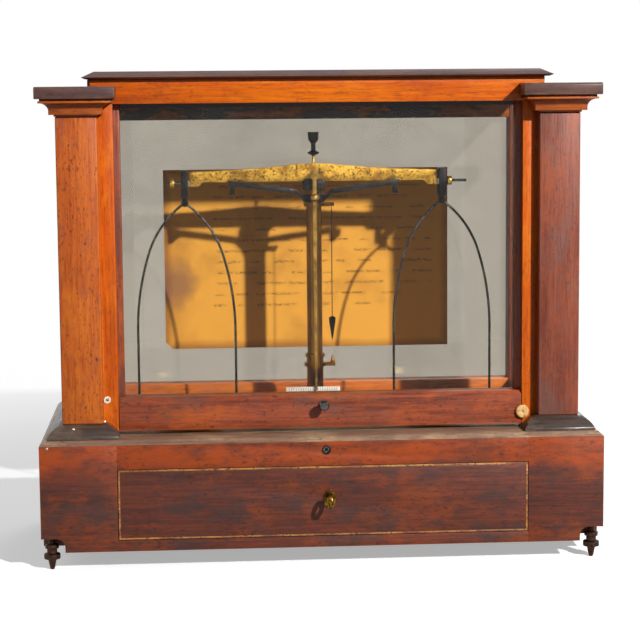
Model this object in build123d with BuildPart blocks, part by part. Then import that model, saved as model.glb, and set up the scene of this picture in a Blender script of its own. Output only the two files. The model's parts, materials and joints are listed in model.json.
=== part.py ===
from build123d import *
from math import acos, asin, cos, degrees, radians, sin
import os

os.makedirs("parts", exist_ok=True)

# A cased analytical balance: a mahogany case with a rising front sash, a drawer
# in its base, and a brass beam on a central pillar with two hanging pans.
# Millimetres, +Z up, +X to the right as seen from the front, front towards -Y.
# The origin is on the table, under the middle of the whole outline.

# Base
base_width = 380.0
base_depth = 172.0
key_reach = 17.0
front = (key_reach - base_depth) / 2
under_gap = 13.0
base_top_of_front = 85.0
board = 14.0
top_chamfer_in = 3.5
top_chamfer_rise = 3.2
floor_tongue = 3.0
half_width = base_width / 2
back = front + base_depth
floor_z = base_top_of_front + top_chamfer_rise
bottom_rail = 7.4
bay_floor = under_gap + bottom_rail

# Drawer
drawer_half = 138.0
drawer_gap = 0.5
drawer_height = 47.3
drawer_front_thick = 16.0
drawer_side_thick = 7.0
drawer_box_depth = 134.0
drawer_box_height = 41.0
drawer_bottom_thick = 3.0
drawer_play = 0.3
drawer_side_gap = 2.0
drawer_bottom_up = 2.0
bead_width = 1.2
bead_depth = 1.5
drawer_low = bay_floor + drawer_gap
drawer_top = drawer_low + drawer_height
opening_half = drawer_half + drawer_gap
opening_top = drawer_top + drawer_gap

# Lock and key
keyhole_x = 3.4
keyhole_z = 46.8
lock_width = 32.0
lock_height = 24.0
lock_thick = 9.0
key_radius = 1.5
key_play = 0.1
key_bow_outer = 5.3
key_bow_wire = 2.0
key_bow_thick = 2.0
key_collar_radius = 2.2
key_collar_gap = 0.4
key_collar_length = 1.6
key_bit_half = 0.7
key_bit_drop = 4.8
key_bit_gap = 1.2
key_bit_length = 3.6
keyhole_play = 0.4
keyhole_slot_half = 0.8
keyhole_slot_drop = 5.5
lock_top_gap = 3.0
lock_cavity = 5.6
lock_cavity_deep = 6.0
escutcheon_half = 4.2
escutcheon_half_height = 6.6
escutcheon_down = 1.2
escutcheon_thick = 0.6

# Levelling screws and rear foot
foot_inset_x = 6.5
foot_inset_y = 9.0
foot_notch = 16.0
foot_notch_deep = 20.0
foot_notch_top = 22.5
foot_notch_round = 6.0
bush_radius = 3.5
bush_length = 20.0
bore_play = 0.5
screw_radius = 2.0
screw_play = 0.05
screw_top = 52.0
rear_foot_radius = 8.0
rear_foot_inset = 14.0

# Pilasters, their feet and their capitals
pilaster_inner = 147.5
pilaster_width = 27.5
pilaster_front = front + 14.0
pilaster_depth = 31.0
pilaster_height = 205.5
plinth_inset = 5.0
plinth_fillet = 1.5
plinth_rise = 9.3
cove_in = 9.0
return_half = 137.0
frieze_plane = front + 22.0
neck_height = 1.2
neck_out = 0.6
fascia_out = 3.8
fascia_height = 3.0
fillet_out = 10.2
cavetto_height = 4.6
fillet_height = 1.4
recess_height = 1.4
recess_out = 9.2
cap_out = 12.5
cap_height = 8.0
pilaster_outer = pilaster_inner + pilaster_width
pilaster_back = pilaster_front + pilaster_depth
plinth_top = floor_z + plinth_rise
pilaster_top = plinth_top + pilaster_height
fascia_low = pilaster_top + neck_height
fascia_top = fascia_low + fascia_height
fillet_low = fascia_top + cavetto_height
fillet_top = fillet_low + fillet_height
cap_low = fillet_top + recess_height
cap_top = cap_low + cap_height

# Case above the base
case_back = back - plinth_inset - cove_in
side_inner = 148.0
side_thick = 7.0
side_stile = 16.0
side_rail = 15.5
groove = 2.5
glass_thick = 2.0
back_rail_depth = 16.0
back_bottom_rail_height = 15.5
back_top_rail_low = 298.0
frieze_low = 310.8
frieze_thick = 6.9
frieze_top = 327.2
frieze_end = 152.0
top_board_height = 5.1
top_board_lip = 1.2
top_board_out = 2.9
top_board_bevel = 8.1
top_board_half = 157.5
top_board_front = front + 16.0
side_outer = side_inner + side_thick

# Sash
strip_width = 10.0
strip_thick = 7.0
sash_play = 0.3
sash_thick = 8.7
sash_sight = 133.3
sash_side_play = 0.5
sash_low = floor_z + 2.8
rail_height = 22.4
rail_bevel = 2.6
sash_top = 322.0
sash_top_rail = 14.0
rear_strip_width = 6.5
knob_radius = 3.5
knob_reach = 11.0
knob_z = 106.9
knob_x = 1.2
knob_pin_radius = 1.5
knob_pin_length = 6.0
ring_radius = 2.4
ring_x = -144.9
ring_z = 112.5
ring_bore = 1.1
ring_bore_deep = 2.4
ring_deep = 3.0
ring_proud = 0.4
button_radius = 4.5
button_thick = 2.2
button_over = 0.2
button_z = 99.4
button_edge = 0.5
button_dimple = 0.8
strip_inner = pilaster_inner - strip_width
strip_back = frieze_plane + strip_thick
sash_front = strip_back + sash_play
sash_back = sash_front + sash_thick
glass_y = (sash_front + sash_back) / 2

# Card
card_left = -107.0
card_right = 103.0
card_low = 129.0
card_high = 261.5
card_thick = 0.4
card_tear = 5.0

# Balance
axis_y = front + 90.0
flange_radius = 13.0
flange_height = 7.8
pillar_low_radius = 5.9
pillar_radius = 5.4
pillar_ring_z = 129.6
pillar_ring_radius = 6.9
pillar_ring_height = 3.0
pillar_ring_edge = 0.5
flange_edge = 1.5
rod_radius = 1.6
rod_play = 0.1
pin_half = 0.9
pin_slot_play = 0.3
head_low = 249.0
head_half = 7.5
cheek_inner = 6.0
cheek_thick = 3.0
cheek_rise = 3.6
knife_z = 257.0
knife_gap = 0.1
knife_drop = 3.0
knife_half = 1.7
knife_body = 1.4
knife_out = 1.5
beam_thick = 5.0
beam_low = 255.2
beam_mid_top = 267.5
beam_end_top = 262.5
beam_half = 87.5
beam_foot = 6.5
beam_foot_drop = 3.0
beam_foot_round = 2.2
beam_mid_half = 9.0
beam_hollow = 0.7
arm_length = 91.0
end_block_thick = 6.0
end_block_over = 2.4
end_block_gap = 1.0
end_knife_half = 1.0
knife_half_length = 4.4
end_screw_radius = 1.0
end_screw_z = 254.6
nut_radius = 3.2
nut_thick = 3.0
nut_play = 0.05
left_nut_x = -99.7
right_nut_x = 96.6
end_screw_left = 104.0
end_screw_right = 108.5
stem_radius = 1.0
stem_sunk = 1.5
stem_short = 1.6
bob_low = 273.4
bob_top = 289.6
bob_roof = 1.2
pointer_y = axis_y - 11.4
pointer_tip = 107.0
pointer_half = 1.3
pointer_tip_half = 0.8
pointer_thick = 1.0
pointer_point = 1.2
pointer_ball_z = 244.0
pointer_ball_radius = 3.0
pointer_over = 1.0
pointer_boss_up = 3.0
pointer_boss_radius = 3.4
scale_gap = 1.2
scale_left = -21.5
scale_right = 17.0
scale_top = 109.5
scale_thick = 2.0

# Stirrups, bows and pans
stirrup_half = 2.5
stirrup_leg = 1.4
stirrup_gap = 0.7
stirrup_low = 246.6
stirrup_bar = 2.4
stirrup_top_bar = 6.4
hook_z = 240.5
pin_radius = 1.0
pin_play = 0.1
ear_gap = 1.3
ear_thick = 1.2
bow_wire = 0.9
bow_half = 34.5
bow_shoulder_z = 150.0
bow_side_radius = 182.0
bow_side_rise = 55.0
bow_foot_z = 94.4
bow_corner = 7.0
bow_top_half = 2.0
bow_top_radius = 70.0
bow_eye_radius = 2.6
bow_eye_play = 0.3
bow_seat_top = bow_foot_z + 1.3
bow_overlap = 2.0
ear_half = 1.9
pan_radius = 26.0
pan_seat_radius = 11.0
pan_wall = 0.8
pan_flat = 20.0
pan_depth = 4.9

# Arrestment
lift = 2.5
collar_wall = 2.2
collar_low = 240.6
collar_height = 5.4
arm_front = axis_y - 6.5
arm_thick = 3.0
arm_out_x = 60.0
arm_out_z = 254.5
arm_in_x = 10.5
arm_in_z = 248.0
arm_height = 3.5
arm_root = 1.5
arm_root_in = 3.0
arm_root_out = 7.0
arm_root_low = 0.6
arm_root_top = 0.2
head_clear = 0.9
pad_x = 57.6
pad_half = 1.6
pad_overlap = 0.6
pad_low = 246.4
pad_top = 250.9
spindle_x = 1.6
spindle_z = 79.3
spindle_radius = 2.0
cam_radius = 4.5
cam_thick = 4.0
cam_gap = 0.6
spindle_bush_radius = 3.0
spindle_bush_proud = 0.5
spindle_end_in = 2.0
socket_half = 1.1
socket_deep = 6.0

# Plumb line
plumb_x = 12.5
thread_radius = 0.3
plumb_bob_top = 158.8
plumb_bob_low = 142.3
plumb_bob_radius = 2.35
bracket_low = 237.4
bracket_thick = 2.6
bracket_over = 1.8
bracket_half = 1.5
point_top = 131.0
point_radius = 1.5
fixed_point_z = 126.0
thread_play = 0.3


def save(piece, name):
    piece.part.label = name
    export_step(piece.part, f"parts/{name}.step")


def save_group(pieces, name):
    """Pieces that touch but aren't one solid, kept apart in one file."""
    solids = [solid for piece in pieces for solid in piece.part.solids()]
    group = Compound(solids)
    group.label = name
    export_step(group, f"parts/{name}.step")


def block(x0, x1, y0, y1, z0, z1, mode=Mode.ADD):
    with Locations(((x0 + x1) / 2, (y0 + y1) / 2, (z0 + z1) / 2)):
        Box(abs(x1 - x0), abs(y1 - y0), abs(z1 - z0), mode=mode)


def upright(x, y, z0, z1, radius, mode=Mode.ADD):
    with Locations((x, y, (z0 + z1) / 2)):
        Cylinder(radius, z1 - z0, mode=mode)


def along_y(x, z, y0, y1, radius, mode=Mode.ADD):
    with Locations(Location((x, (y0 + y1) / 2, z), (90, 0, 0))):
        Cylinder(radius, y1 - y0, mode=mode)


def along_x(y, z, x0, x1, radius, mode=Mode.ADD):
    with Locations(Location(((x0 + x1) / 2, y, z), (0, 90, 0))):
        Cylinder(radius, abs(x1 - x0), mode=mode)


def turned(x, y, points):
    """A turned piece about the upright line at x, y, from radius and height pairs."""
    with BuildSketch(Plane((x, y, 0), x_dir=(1, 0, 0), z_dir=(0, -1, 0))) as profile:
        with BuildLine():
            Polyline(points, close=True)
        make_face()
    revolve(profile.sketch, axis=Axis((x, y, 0), (0, 0, 1)))


# Hollows in the front corners of the base, round-shouldered, that clear the feet
with BuildPart() as foot_notches:
    for side in (-1, 1):
        block(side * (half_width - foot_notch), side * (half_width + foot_notch),
              front - foot_notch, front + foot_notch_deep, under_gap - foot_notch,
              foot_notch_top)
    fillet(foot_notches.edges().filter_by(Axis.Y).filter_by(
        lambda edge: edge.center().Z > under_gap and abs(edge.center().X) < half_width),
        foot_notch_round)

# Base front: two rails and two ends round the drawer opening, notched for the feet
with BuildPart() as front_rails:
    block(-opening_half, opening_half, front, front + board, under_gap, bay_floor)
    block(-opening_half, opening_half, front, front + board, opening_top, base_top_of_front)
    along_y(spindle_x, spindle_z, front - 1, front + board + 1, spindle_bush_radius,
            Mode.SUBTRACT)
with BuildPart() as front_ends:
    for side in (-1, 1):
        block(side * opening_half, side * half_width, front, front + board, under_gap,
              base_top_of_front)
        add(foot_notches.part, mode=Mode.SUBTRACT)
        foot_x = side * (half_width - foot_inset_x)
        upright(foot_x, front + foot_inset_y, foot_notch_top - 1,
                foot_notch_top + bush_length, bush_radius, Mode.SUBTRACT)
        upright(foot_x, front + foot_inset_y, foot_notch_top, screw_top + 2,
                screw_radius + bore_play, Mode.SUBTRACT)
save_group((front_rails, front_ends), "base_front")

# Base sides, notched at the front beside the feet
with BuildPart() as base_sides:
    for side in (-1, 1):
        block(side * (half_width - board), side * half_width, front + board, back - board,
              under_gap, base_top_of_front)
    add(foot_notches.part, mode=Mode.SUBTRACT)
save(base_sides, "base_sides")

with BuildPart() as base_back:
    block(-half_width, half_width, back - board, back, under_gap, base_top_of_front)
save(base_back, "base_back")

with BuildPart() as base_bottom:
    block(board - half_width, half_width - board, front + board, back - board,
          under_gap, bay_floor)
    add(foot_notches.part, mode=Mode.SUBTRACT)
save(base_bottom, "base_bottom")

# Guides either side of the drawer
guide_height = 14.0
guide_width = 12.0
with BuildPart() as drawer_guides:
    for side in (-1, 1):
        block(side * opening_half, side * (opening_half + guide_width), front + board,
              back - board, bay_floor, bay_floor + guide_height)
save(drawer_guides, "drawer_guides")

# Case floor: a board with a bevelled rim, its middle let down between the sides
rod_hole = 7.5
with BuildPart() as case_floor:
    with BuildSketch(Plane.XY.offset(base_top_of_front)):
        with Locations((0, (front + back) / 2)):
            Rectangle(base_width, base_depth)
    with BuildSketch(Plane.XY.offset(floor_z)):
        with Locations((0, (front + back) / 2)):
            Rectangle(base_width - 2 * top_chamfer_in, base_depth - 2 * top_chamfer_in)
    loft(ruled=True)
    block(board - half_width, half_width - board, front + board, back - board,
          base_top_of_front - floor_tongue, base_top_of_front)
    upright(0, axis_y, base_top_of_front - floor_tongue - 1, floor_z + 1, rod_hole,
            Mode.SUBTRACT)
save(case_floor, "case_floor")

# Plinths: a cove round each pilaster foot, returned inwards and run back along the side
plinth_outer = half_width - plinth_inset
plinth_front = front + plinth_inset
plinth_back = back - plinth_inset
for name, side in (("left", -1), ("right", 1)):
    with BuildPart() as plinth:
        with BuildLine(Plane.XY.offset(floor_z)) as run:
            Polyline(
                (side * return_half, frieze_plane),
                (side * return_half, plinth_front),
                (side * plinth_outer, plinth_front),
                (side * plinth_outer, plinth_back),
                (side * side_outer, plinth_back),
            )
        with BuildSketch(Plane((side * return_half, frieze_plane, floor_z),
                               x_dir=(side, 0, 0), z_dir=(0, -side, 0))):
            with BuildLine():
                Polyline((0, 0), (0, plinth_fillet))
                ThreePointArc((0, plinth_fillet), (cove_in * 0.36, plinth_rise * 0.62),
                              (cove_in, plinth_rise))
                Polyline((cove_in, plinth_rise), (cove_in, 0), (0, 0))
            make_face()
        sweep(path=run.line, transition=Transition.RIGHT)
        block(side * (return_half + cove_in), side * (plinth_outer - cove_in),
              plinth_front + cove_in, frieze_plane, floor_z, plinth_top)
        block(side * pilaster_inner, side * (plinth_outer - cove_in), frieze_plane,
              pilaster_back, floor_z, plinth_top)
        block(side * side_outer, side * (plinth_outer - cove_in), pilaster_back,
              plinth_back - cove_in, floor_z, plinth_top)
    save(plinth, f"plinth_{name}")

# Pilasters stand on the plinths
for name, side in (("left", -1), ("right", 1)):
    with BuildPart() as pilaster:
        block(side * pilaster_inner, side * pilaster_outer, pilaster_front, pilaster_back,
              plinth_top, pilaster_top)
    save(pilaster, f"pilaster_{name}")

# Capitals: neck, fascia, cavetto and fillet round three sides of each pilaster
capitals = []
for side in (-1, 1):
    with BuildPart() as capital:
        with BuildLine(Plane.XY.offset(pilaster_top)) as run:
            Polyline(
                (side * pilaster_inner, frieze_plane),
                (side * pilaster_inner, pilaster_front),
                (side * pilaster_outer, pilaster_front),
                (side * pilaster_outer, pilaster_back),
            )
        with BuildSketch(Plane((side * pilaster_inner, frieze_plane, pilaster_top),
                               x_dir=(-side, 0, 0), z_dir=(0, side, 0))):
            with BuildLine():
                Polyline((0, 0), (neck_out, 0), (neck_out, neck_height),
                         (fascia_out, neck_height), (fascia_out, neck_height + fascia_height))
                ThreePointArc(
                    (fascia_out, fascia_top - pilaster_top),
                    (fascia_out + 0.29 * (fillet_out - fascia_out),
                     fascia_top - pilaster_top + 0.71 * cavetto_height),
                    (fillet_out, fillet_low - pilaster_top),
                )
                Polyline((fillet_out, fillet_low - pilaster_top),
                         (fillet_out, fillet_top - pilaster_top),
                         (recess_out, fillet_top - pilaster_top),
                         (recess_out, cap_low - pilaster_top),
                         (0, cap_low - pilaster_top), (0, 0))
            make_face()
        sweep(path=run.line, transition=Transition.RIGHT)
        block(side * pilaster_inner, side * pilaster_outer, pilaster_front, pilaster_back,
              pilaster_top, cap_low)
    capitals.append(capital)
save_group(capitals, "capitals")

# Cap plates over the capitals, stopped at the frieze on the inner side
cap_edge = 1.2
with BuildPart() as cap_plates:
    for side in (-1, 1):
        block(side * (pilaster_inner - cap_out), side * (pilaster_outer + cap_out),
              pilaster_front - cap_out, frieze_plane, cap_low, cap_top)
        block(side * pilaster_inner, side * (pilaster_outer + cap_out), frieze_plane,
              pilaster_back, cap_low, cap_top)
    chamfer(cap_plates.faces().filter_by(lambda face: face.center().Y < frieze_plane - 10
            and abs(face.normal_at().Y) > 0.9).edges().group_by(Axis.Z)[-1], cap_edge)
save(cap_plates, "cap_plates")

# Strips that guide the sash: flush with the frieze in front, plain ones behind
with BuildPart() as guide_strips:
    for side in (-1, 1):
        block(side * strip_inner, side * pilaster_inner, frieze_plane, strip_back, floor_z,
              frieze_low)
        block(side * (pilaster_inner - rear_strip_width), side * pilaster_inner,
              sash_back + sash_play, pilaster_back, floor_z, frieze_top)
    along_y(ring_x, ring_z, frieze_plane, frieze_plane + ring_deep, ring_radius, Mode.SUBTRACT)
save(guide_strips, "guide_strips")

# Side frames: two stiles and two rails, grooved for the pane
glass_x = side_inner + side_thick / 2
side_back_stile = case_back - side_stile
side_front_stile = pilaster_back + side_stile
for name, side in (("left", -1), ("right", 1)):
    with BuildPart() as stiles:
        block(side * side_inner, side * side_outer, pilaster_back, side_front_stile,
              floor_z, frieze_top)
        block(side * side_inner, side * side_outer, side_back_stile, case_back,
              floor_z, frieze_top)
        block(side * (glass_x - glass_thick / 2), side * (glass_x + glass_thick / 2),
              side_front_stile - groove, side_back_stile + groove,
              floor_z + side_rail - groove, frieze_top - side_rail + groove, Mode.SUBTRACT)
    with BuildPart() as rails:
        block(side * side_inner, side * side_outer, side_front_stile, side_back_stile,
              floor_z, floor_z + side_rail)
        block(side * side_inner, side * side_outer, side_front_stile, side_back_stile,
              frieze_top - side_rail, frieze_top)
        block(side * (glass_x - glass_thick / 2), side * (glass_x + glass_thick / 2),
              side_front_stile - groove, side_back_stile + groove,
              floor_z + side_rail - groove, frieze_top - side_rail + groove, Mode.SUBTRACT)
    save_group((stiles, rails), f"side_frame_{name}")

with BuildPart() as side_glasses:
    for side in (-1, 1):
        block(side * (glass_x - glass_thick / 2), side * (glass_x + glass_thick / 2),
              side_front_stile - groove, side_back_stile + groove,
              floor_z + side_rail - groove, frieze_top - side_rail + groove)
save(side_glasses, "side_glasses")

# Back: a rail at the floor and one under the top, with a pane in their grooves
back_rail_front = case_back - back_rail_depth
back_glass_y = case_back - back_rail_depth / 2
back_rail_top = floor_z + back_bottom_rail_height
with BuildPart() as back_rails:
    block(-side_inner, side_inner, back_rail_front, case_back, floor_z, back_rail_top)
    block(-side_inner, side_inner, back_rail_front, case_back, back_top_rail_low, frieze_top)
    block(-side_inner, side_inner, back_glass_y, back_glass_y + glass_thick,
          back_rail_top - groove, back_top_rail_low + groove, Mode.SUBTRACT)
save(back_rails, "back_rails")

with BuildPart() as back_glass:
    block(-side_inner, side_inner, back_glass_y, back_glass_y + glass_thick,
          back_rail_top - groove, back_top_rail_low + groove)
save(back_glass, "back_glass")

# Frieze above the sash opening, with ears over the cap plates
with BuildPart() as frieze:
    block(-pilaster_inner, pilaster_inner, frieze_plane, frieze_plane + frieze_thick,
          frieze_low, frieze_top)
    block(-frieze_end, frieze_end, frieze_plane, frieze_plane + frieze_thick, cap_top,
          frieze_top)
save(frieze, "frieze")

# Top board: underside out to a lip, then a wide bevel up, slotted for the rising sash
board_back = case_back + top_board_out
board_mid = (top_board_front + board_back) / 2
board_deep = board_back - top_board_front
slot_play = 0.6
with BuildPart() as top_board:
    for low, high, low_in, high_in in (
        (frieze_top, frieze_top + top_board_lip, top_board_out, 0),
        (frieze_top + top_board_lip, frieze_top + top_board_height, 0, top_board_bevel),
    ):
        with BuildSketch(Plane.XY.offset(low)):
            with Locations((0, board_mid)):
                Rectangle(2 * (top_board_half - low_in), board_deep - 2 * low_in)
        with BuildSketch(Plane.XY.offset(high)):
            with Locations((0, board_mid)):
                Rectangle(2 * (top_board_half - high_in), board_deep - 2 * high_in)
        loft(ruled=True)
    block(-pilaster_inner, pilaster_inner, strip_back - sash_play / 2, sash_back + slot_play,
          frieze_top - 1, frieze_top + top_board_height + 1, Mode.SUBTRACT)
save(top_board, "top_board")

# Card on the back pane, its lower left corner torn away
with BuildPart() as instruction_card:
    with BuildSketch(Plane((0, back_glass_y, 0), x_dir=(1, 0, 0), z_dir=(0, -1, 0))):
        with BuildLine():
            Polyline((card_left + card_tear, card_low), (card_right, card_low),
                     (card_right, card_high), (card_left, card_high),
                     (card_left, card_low + card_tear), close=True)
        make_face()
    extrude(amount=card_thick)
save(instruction_card, "instruction_card")

# Sash: stiles and top rail behind the strips and frieze, a proud bottom rail between
stile_outer = pilaster_inner - sash_side_play
rail_top = sash_low + rail_height
pane_edge = sash_sight + groove
pane_half = glass_thick / 2
with BuildPart() as sash_pane_space:
    block(-pane_edge, pane_edge, glass_y - pane_half, glass_y + pane_half,
          rail_top - groove, sash_top - sash_top_rail + groove)
with BuildPart() as sash_stiles:
    for side in (-1, 1):
        block(side * sash_sight, side * stile_outer, sash_front, sash_back, sash_low, sash_top)
    add(sash_pane_space.part, mode=Mode.SUBTRACT)
with BuildPart() as sash_head:
    block(-sash_sight, sash_sight, sash_front, sash_back, sash_top - sash_top_rail, sash_top)
    add(sash_pane_space.part, mode=Mode.SUBTRACT)
save_group((sash_stiles, sash_head), "sash_frame")

rail_half = strip_inner - sash_side_play
rail_front = frieze_plane + sash_play
with BuildPart() as sash_bottom_rail:
    block(-rail_half, rail_half, rail_front, sash_front, sash_low, rail_top)
    chamfer(sash_bottom_rail.edges().filter_by(Axis.X).group_by(Axis.Z)[-1]
            .sort_by(Axis.Y)[0], rail_bevel)
    block(-sash_sight, sash_sight, sash_front, sash_back, sash_low, rail_top)
    add(sash_pane_space.part, mode=Mode.SUBTRACT)
    along_y(knob_x, knob_z, rail_front, rail_front + knob_pin_length, knob_pin_radius,
            Mode.SUBTRACT)
save(sash_bottom_rail, "sash_bottom_rail")

save(sash_pane_space, "sash_glass")

# Turned knob on the sash rail, its pin let into the rail
knob_outline = ((0, -knob_reach), (2.6, -knob_reach + 0.5), (knob_radius, -knob_reach + 2.2),
                (knob_radius, -knob_reach + 3.8), (2.0, -knob_reach + 6.2), (1.8, -2.2),
                (3.0, -1.0), (3.0, 0), (knob_pin_radius, 0), (knob_pin_radius, knob_pin_length),
                (0, knob_pin_length))
with BuildPart() as sash_knob:
    with BuildSketch(Plane((knob_x, rail_front, knob_z), x_dir=(1, 0, 0), z_dir=(0, 0, 1))):
        with BuildLine():
            Polyline(knob_outline, close=True)
        make_face()
    revolve(axis=Axis((knob_x, rail_front, knob_z), (0, 1, 0)))
save(sash_knob, "sash_knob")

# Bone ring let into the left strip, and a button on the right strip that keeps the sash
with BuildPart() as strip_ring:
    along_y(ring_x, ring_z, frieze_plane - ring_proud, frieze_plane + ring_deep, ring_radius)
    along_y(ring_x, ring_z, frieze_plane - ring_proud, frieze_plane + ring_bore_deep,
            ring_bore, Mode.SUBTRACT)
save(strip_ring, "strip_ring")

button_x = strip_inner + button_over
button_front = frieze_plane - button_thick
with BuildPart() as sash_button:
    along_y(button_x, button_z, button_front, frieze_plane, button_radius)
    chamfer(sash_button.edges().group_by(Axis.Y)[0], button_edge)
    along_y(button_x, button_z, button_front, button_front + button_dimple, button_dimple,
            Mode.SUBTRACT)
save(sash_button, "sash_button")

# Collar of the arrestment keyhole, and the two threaded bushes of the front feet
with BuildPart() as spindle_bush:
    along_y(spindle_x, spindle_z, front - spindle_bush_proud, front + board,
            spindle_bush_radius)
    along_y(spindle_x, spindle_z, front - 1, front + board + 1, spindle_radius + screw_play,
            Mode.SUBTRACT)
save(spindle_bush, "spindle_bush")

foot_y = front + foot_inset_y
with BuildPart() as foot_bushes:
    for side in (-1, 1):
        foot_x = side * (half_width - foot_inset_x)
        upright(foot_x, foot_y, foot_notch_top, foot_notch_top + bush_length, bush_radius)
        upright(foot_x, foot_y, foot_notch_top - 1, foot_notch_top + bush_length + 1,
                screw_radius + screw_play, Mode.SUBTRACT)
save(foot_bushes, "foot_bushes")

# Levelling screws with milled discs and blunt points
screw_outline = ((0, 0), (1.2, 0), (1.7, 1.0), (2.8, 6.6), (5.4, 7.4), (5.4, 10.6), (3.4, 11.4),
                 (3.4, 14.0), (4.6, 14.6), (4.6, 17.0), (screw_radius, 17.8),
                 (screw_radius, screw_top), (0, screw_top))
for name, side in (("left", -1), ("right", 1)):
    with BuildPart() as levelling_screw:
        turned(side * (half_width - foot_inset_x), foot_y, screw_outline)
    save(levelling_screw, f"levelling_screw_{name}")

# Rear foot, turned with a waist
rear_foot_outline = ((0, 0), (rear_foot_radius - 1.0, 0), (rear_foot_radius, 1.0),
                     (rear_foot_radius, 4.0), (5.0, 6.5), (5.0, 9.0), (rear_foot_radius, 11.5),
                     (rear_foot_radius, under_gap), (0, under_gap))
with BuildPart() as rear_foot:
    turned(0, back - rear_foot_inset, rear_foot_outline)
save(rear_foot, "rear_foot")

# Drawer: front, two sides, back and bottom, with a pale bead round the front's edge
box_half = drawer_half - drawer_side_gap
box_front = front + drawer_front_thick
box_back = box_front + drawer_box_depth
box_low = bay_floor + drawer_play
box_top = box_low + drawer_box_height
with BuildPart() as drawer_bead:
    for side in (-1, 1):
        block(side * (drawer_half - bead_width), side * drawer_half, front,
              front + bead_depth, drawer_low + bead_width, drawer_top - bead_width)
with BuildPart() as bead_rows:
    block(-drawer_half, drawer_half, front, front + bead_depth, drawer_low,
          drawer_low + bead_width)
    block(-drawer_half, drawer_half, front, front + bead_depth, drawer_top - bead_width,
          drawer_top)
save_group((drawer_bead, bead_rows), "drawer_bead")

with BuildPart() as drawer_front:
    block(-drawer_half, drawer_half, front + bead_depth, box_front, drawer_low, drawer_top)
    block(bead_width - drawer_half, drawer_half - bead_width, front, front + bead_depth,
          drawer_low + bead_width, drawer_top - bead_width)
    along_y(keyhole_x, keyhole_z, front, box_front, key_radius + keyhole_play, Mode.SUBTRACT)
    block(keyhole_x - keyhole_slot_half, keyhole_x + keyhole_slot_half, front, box_front,
          keyhole_z - keyhole_slot_drop, keyhole_z, Mode.SUBTRACT)
save(drawer_front, "drawer_front")

with BuildPart() as drawer_sides:
    for side in (-1, 1):
        block(side * (box_half - drawer_side_thick), side * box_half, box_front, box_back,
              box_low, box_top)

inner_half = box_half - drawer_side_thick
box_floor = box_low + drawer_bottom_up
with BuildPart() as drawer_back:
    block(-inner_half, inner_half, box_back - drawer_side_thick, box_back, box_low, box_top)
save_group((drawer_sides, drawer_back), "drawer_walls")

with BuildPart() as drawer_bottom:
    block(-inner_half, inner_half, box_front, box_back - drawer_side_thick, box_floor,
          box_floor + drawer_bottom_thick)
save(drawer_bottom, "drawer_bottom")

# Lock behind the drawer front, hollow where the key's bit turns
lock_top = opening_top - lock_top_gap
with BuildPart() as drawer_lock:
    block(keyhole_x - lock_width / 2, keyhole_x + lock_width / 2, box_front,
          box_front + lock_thick, lock_top - lock_height, lock_top)
    along_y(keyhole_x, keyhole_z, box_front, box_front + lock_cavity_deep, lock_cavity,
            Mode.SUBTRACT)
    along_y(keyhole_x, keyhole_z, box_front, box_front + lock_thick, key_radius + key_play,
            Mode.SUBTRACT)
save(drawer_lock, "drawer_lock")

# Oval escutcheon round the keyhole
with BuildPart() as escutcheon:
    with BuildSketch(Plane((keyhole_x, front, keyhole_z), x_dir=(1, 0, 0), z_dir=(0, -1, 0))):
        with Locations((0, -escutcheon_down)):
            Ellipse(escutcheon_half, escutcheon_half_height)
        with Locations((0, -keyhole_slot_drop / 2)):
            Rectangle(2 * keyhole_slot_half, keyhole_slot_drop, mode=Mode.SUBTRACT)
        Circle(key_radius + keyhole_play, mode=Mode.SUBTRACT)
    extrude(amount=escutcheon_thick)
save(escutcheon, "escutcheon")

# Key: a shank in the lock, a bit inside it, and a round bow standing edge-on in front
bow_y = front - key_reach + key_bow_outer
key_end = box_front + lock_thick
key_collar_y = bow_y + key_bow_outer + key_collar_gap
key_bit_y = box_front + key_bit_gap
with BuildPart() as drawer_key:
    along_y(keyhole_x, keyhole_z, bow_y + key_bow_outer - key_bow_wire, key_end, key_radius)
    along_x(bow_y, keyhole_z, keyhole_x - key_bow_thick / 2, keyhole_x + key_bow_thick / 2,
            key_bow_outer)
    along_x(bow_y, keyhole_z, keyhole_x - key_bow_thick, keyhole_x + key_bow_thick,
            key_bow_outer - key_bow_wire, Mode.SUBTRACT)
    along_y(keyhole_x, keyhole_z, key_collar_y, key_collar_y + key_collar_length,
            key_collar_radius)
    block(keyhole_x - key_bit_half, keyhole_x + key_bit_half, key_bit_y,
          key_bit_y + key_bit_length, keyhole_z - key_bit_drop, keyhole_z)
save(drawer_key, "drawer_key")

# Pillar: flange on the case floor, a stout lower tube, a ring and a slimmer upper tube
rod_bore = rod_radius + rod_play
slot_half = pin_half + pin_slot_play
collar_mid = collar_low + collar_height / 2
with BuildPart() as pillar_base:
    upright(0, axis_y, floor_z, floor_z + flange_height, flange_radius)
    chamfer(pillar_base.edges().filter_by(GeomType.CIRCLE).group_by(Axis.Z)[-1], flange_edge)
    upright(0, axis_y, floor_z - 1, floor_z + flange_height + 1, rod_bore, Mode.SUBTRACT)
save(pillar_base, "pillar_base")

with BuildPart() as pillar:
    upright(0, axis_y, floor_z + flange_height, pillar_ring_z, pillar_low_radius)
    upright(0, axis_y, pillar_ring_z, pillar_ring_z + pillar_ring_height, pillar_ring_radius)
    chamfer(pillar.edges().filter_by(GeomType.CIRCLE).filter_by(
        lambda edge: edge.radius > (pillar_low_radius + pillar_ring_radius) / 2), pillar_ring_edge)
    upright(0, axis_y, pillar_ring_z + pillar_ring_height, head_low, pillar_radius)
    upright(0, axis_y, floor_z, head_low + 1, rod_bore, Mode.SUBTRACT)
    block(-pillar_radius - 1, pillar_radius + 1, axis_y - slot_half, axis_y + slot_half,
          collar_mid - slot_half, collar_mid + slot_half + lift, Mode.SUBTRACT)
save(pillar, "pillar")

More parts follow.
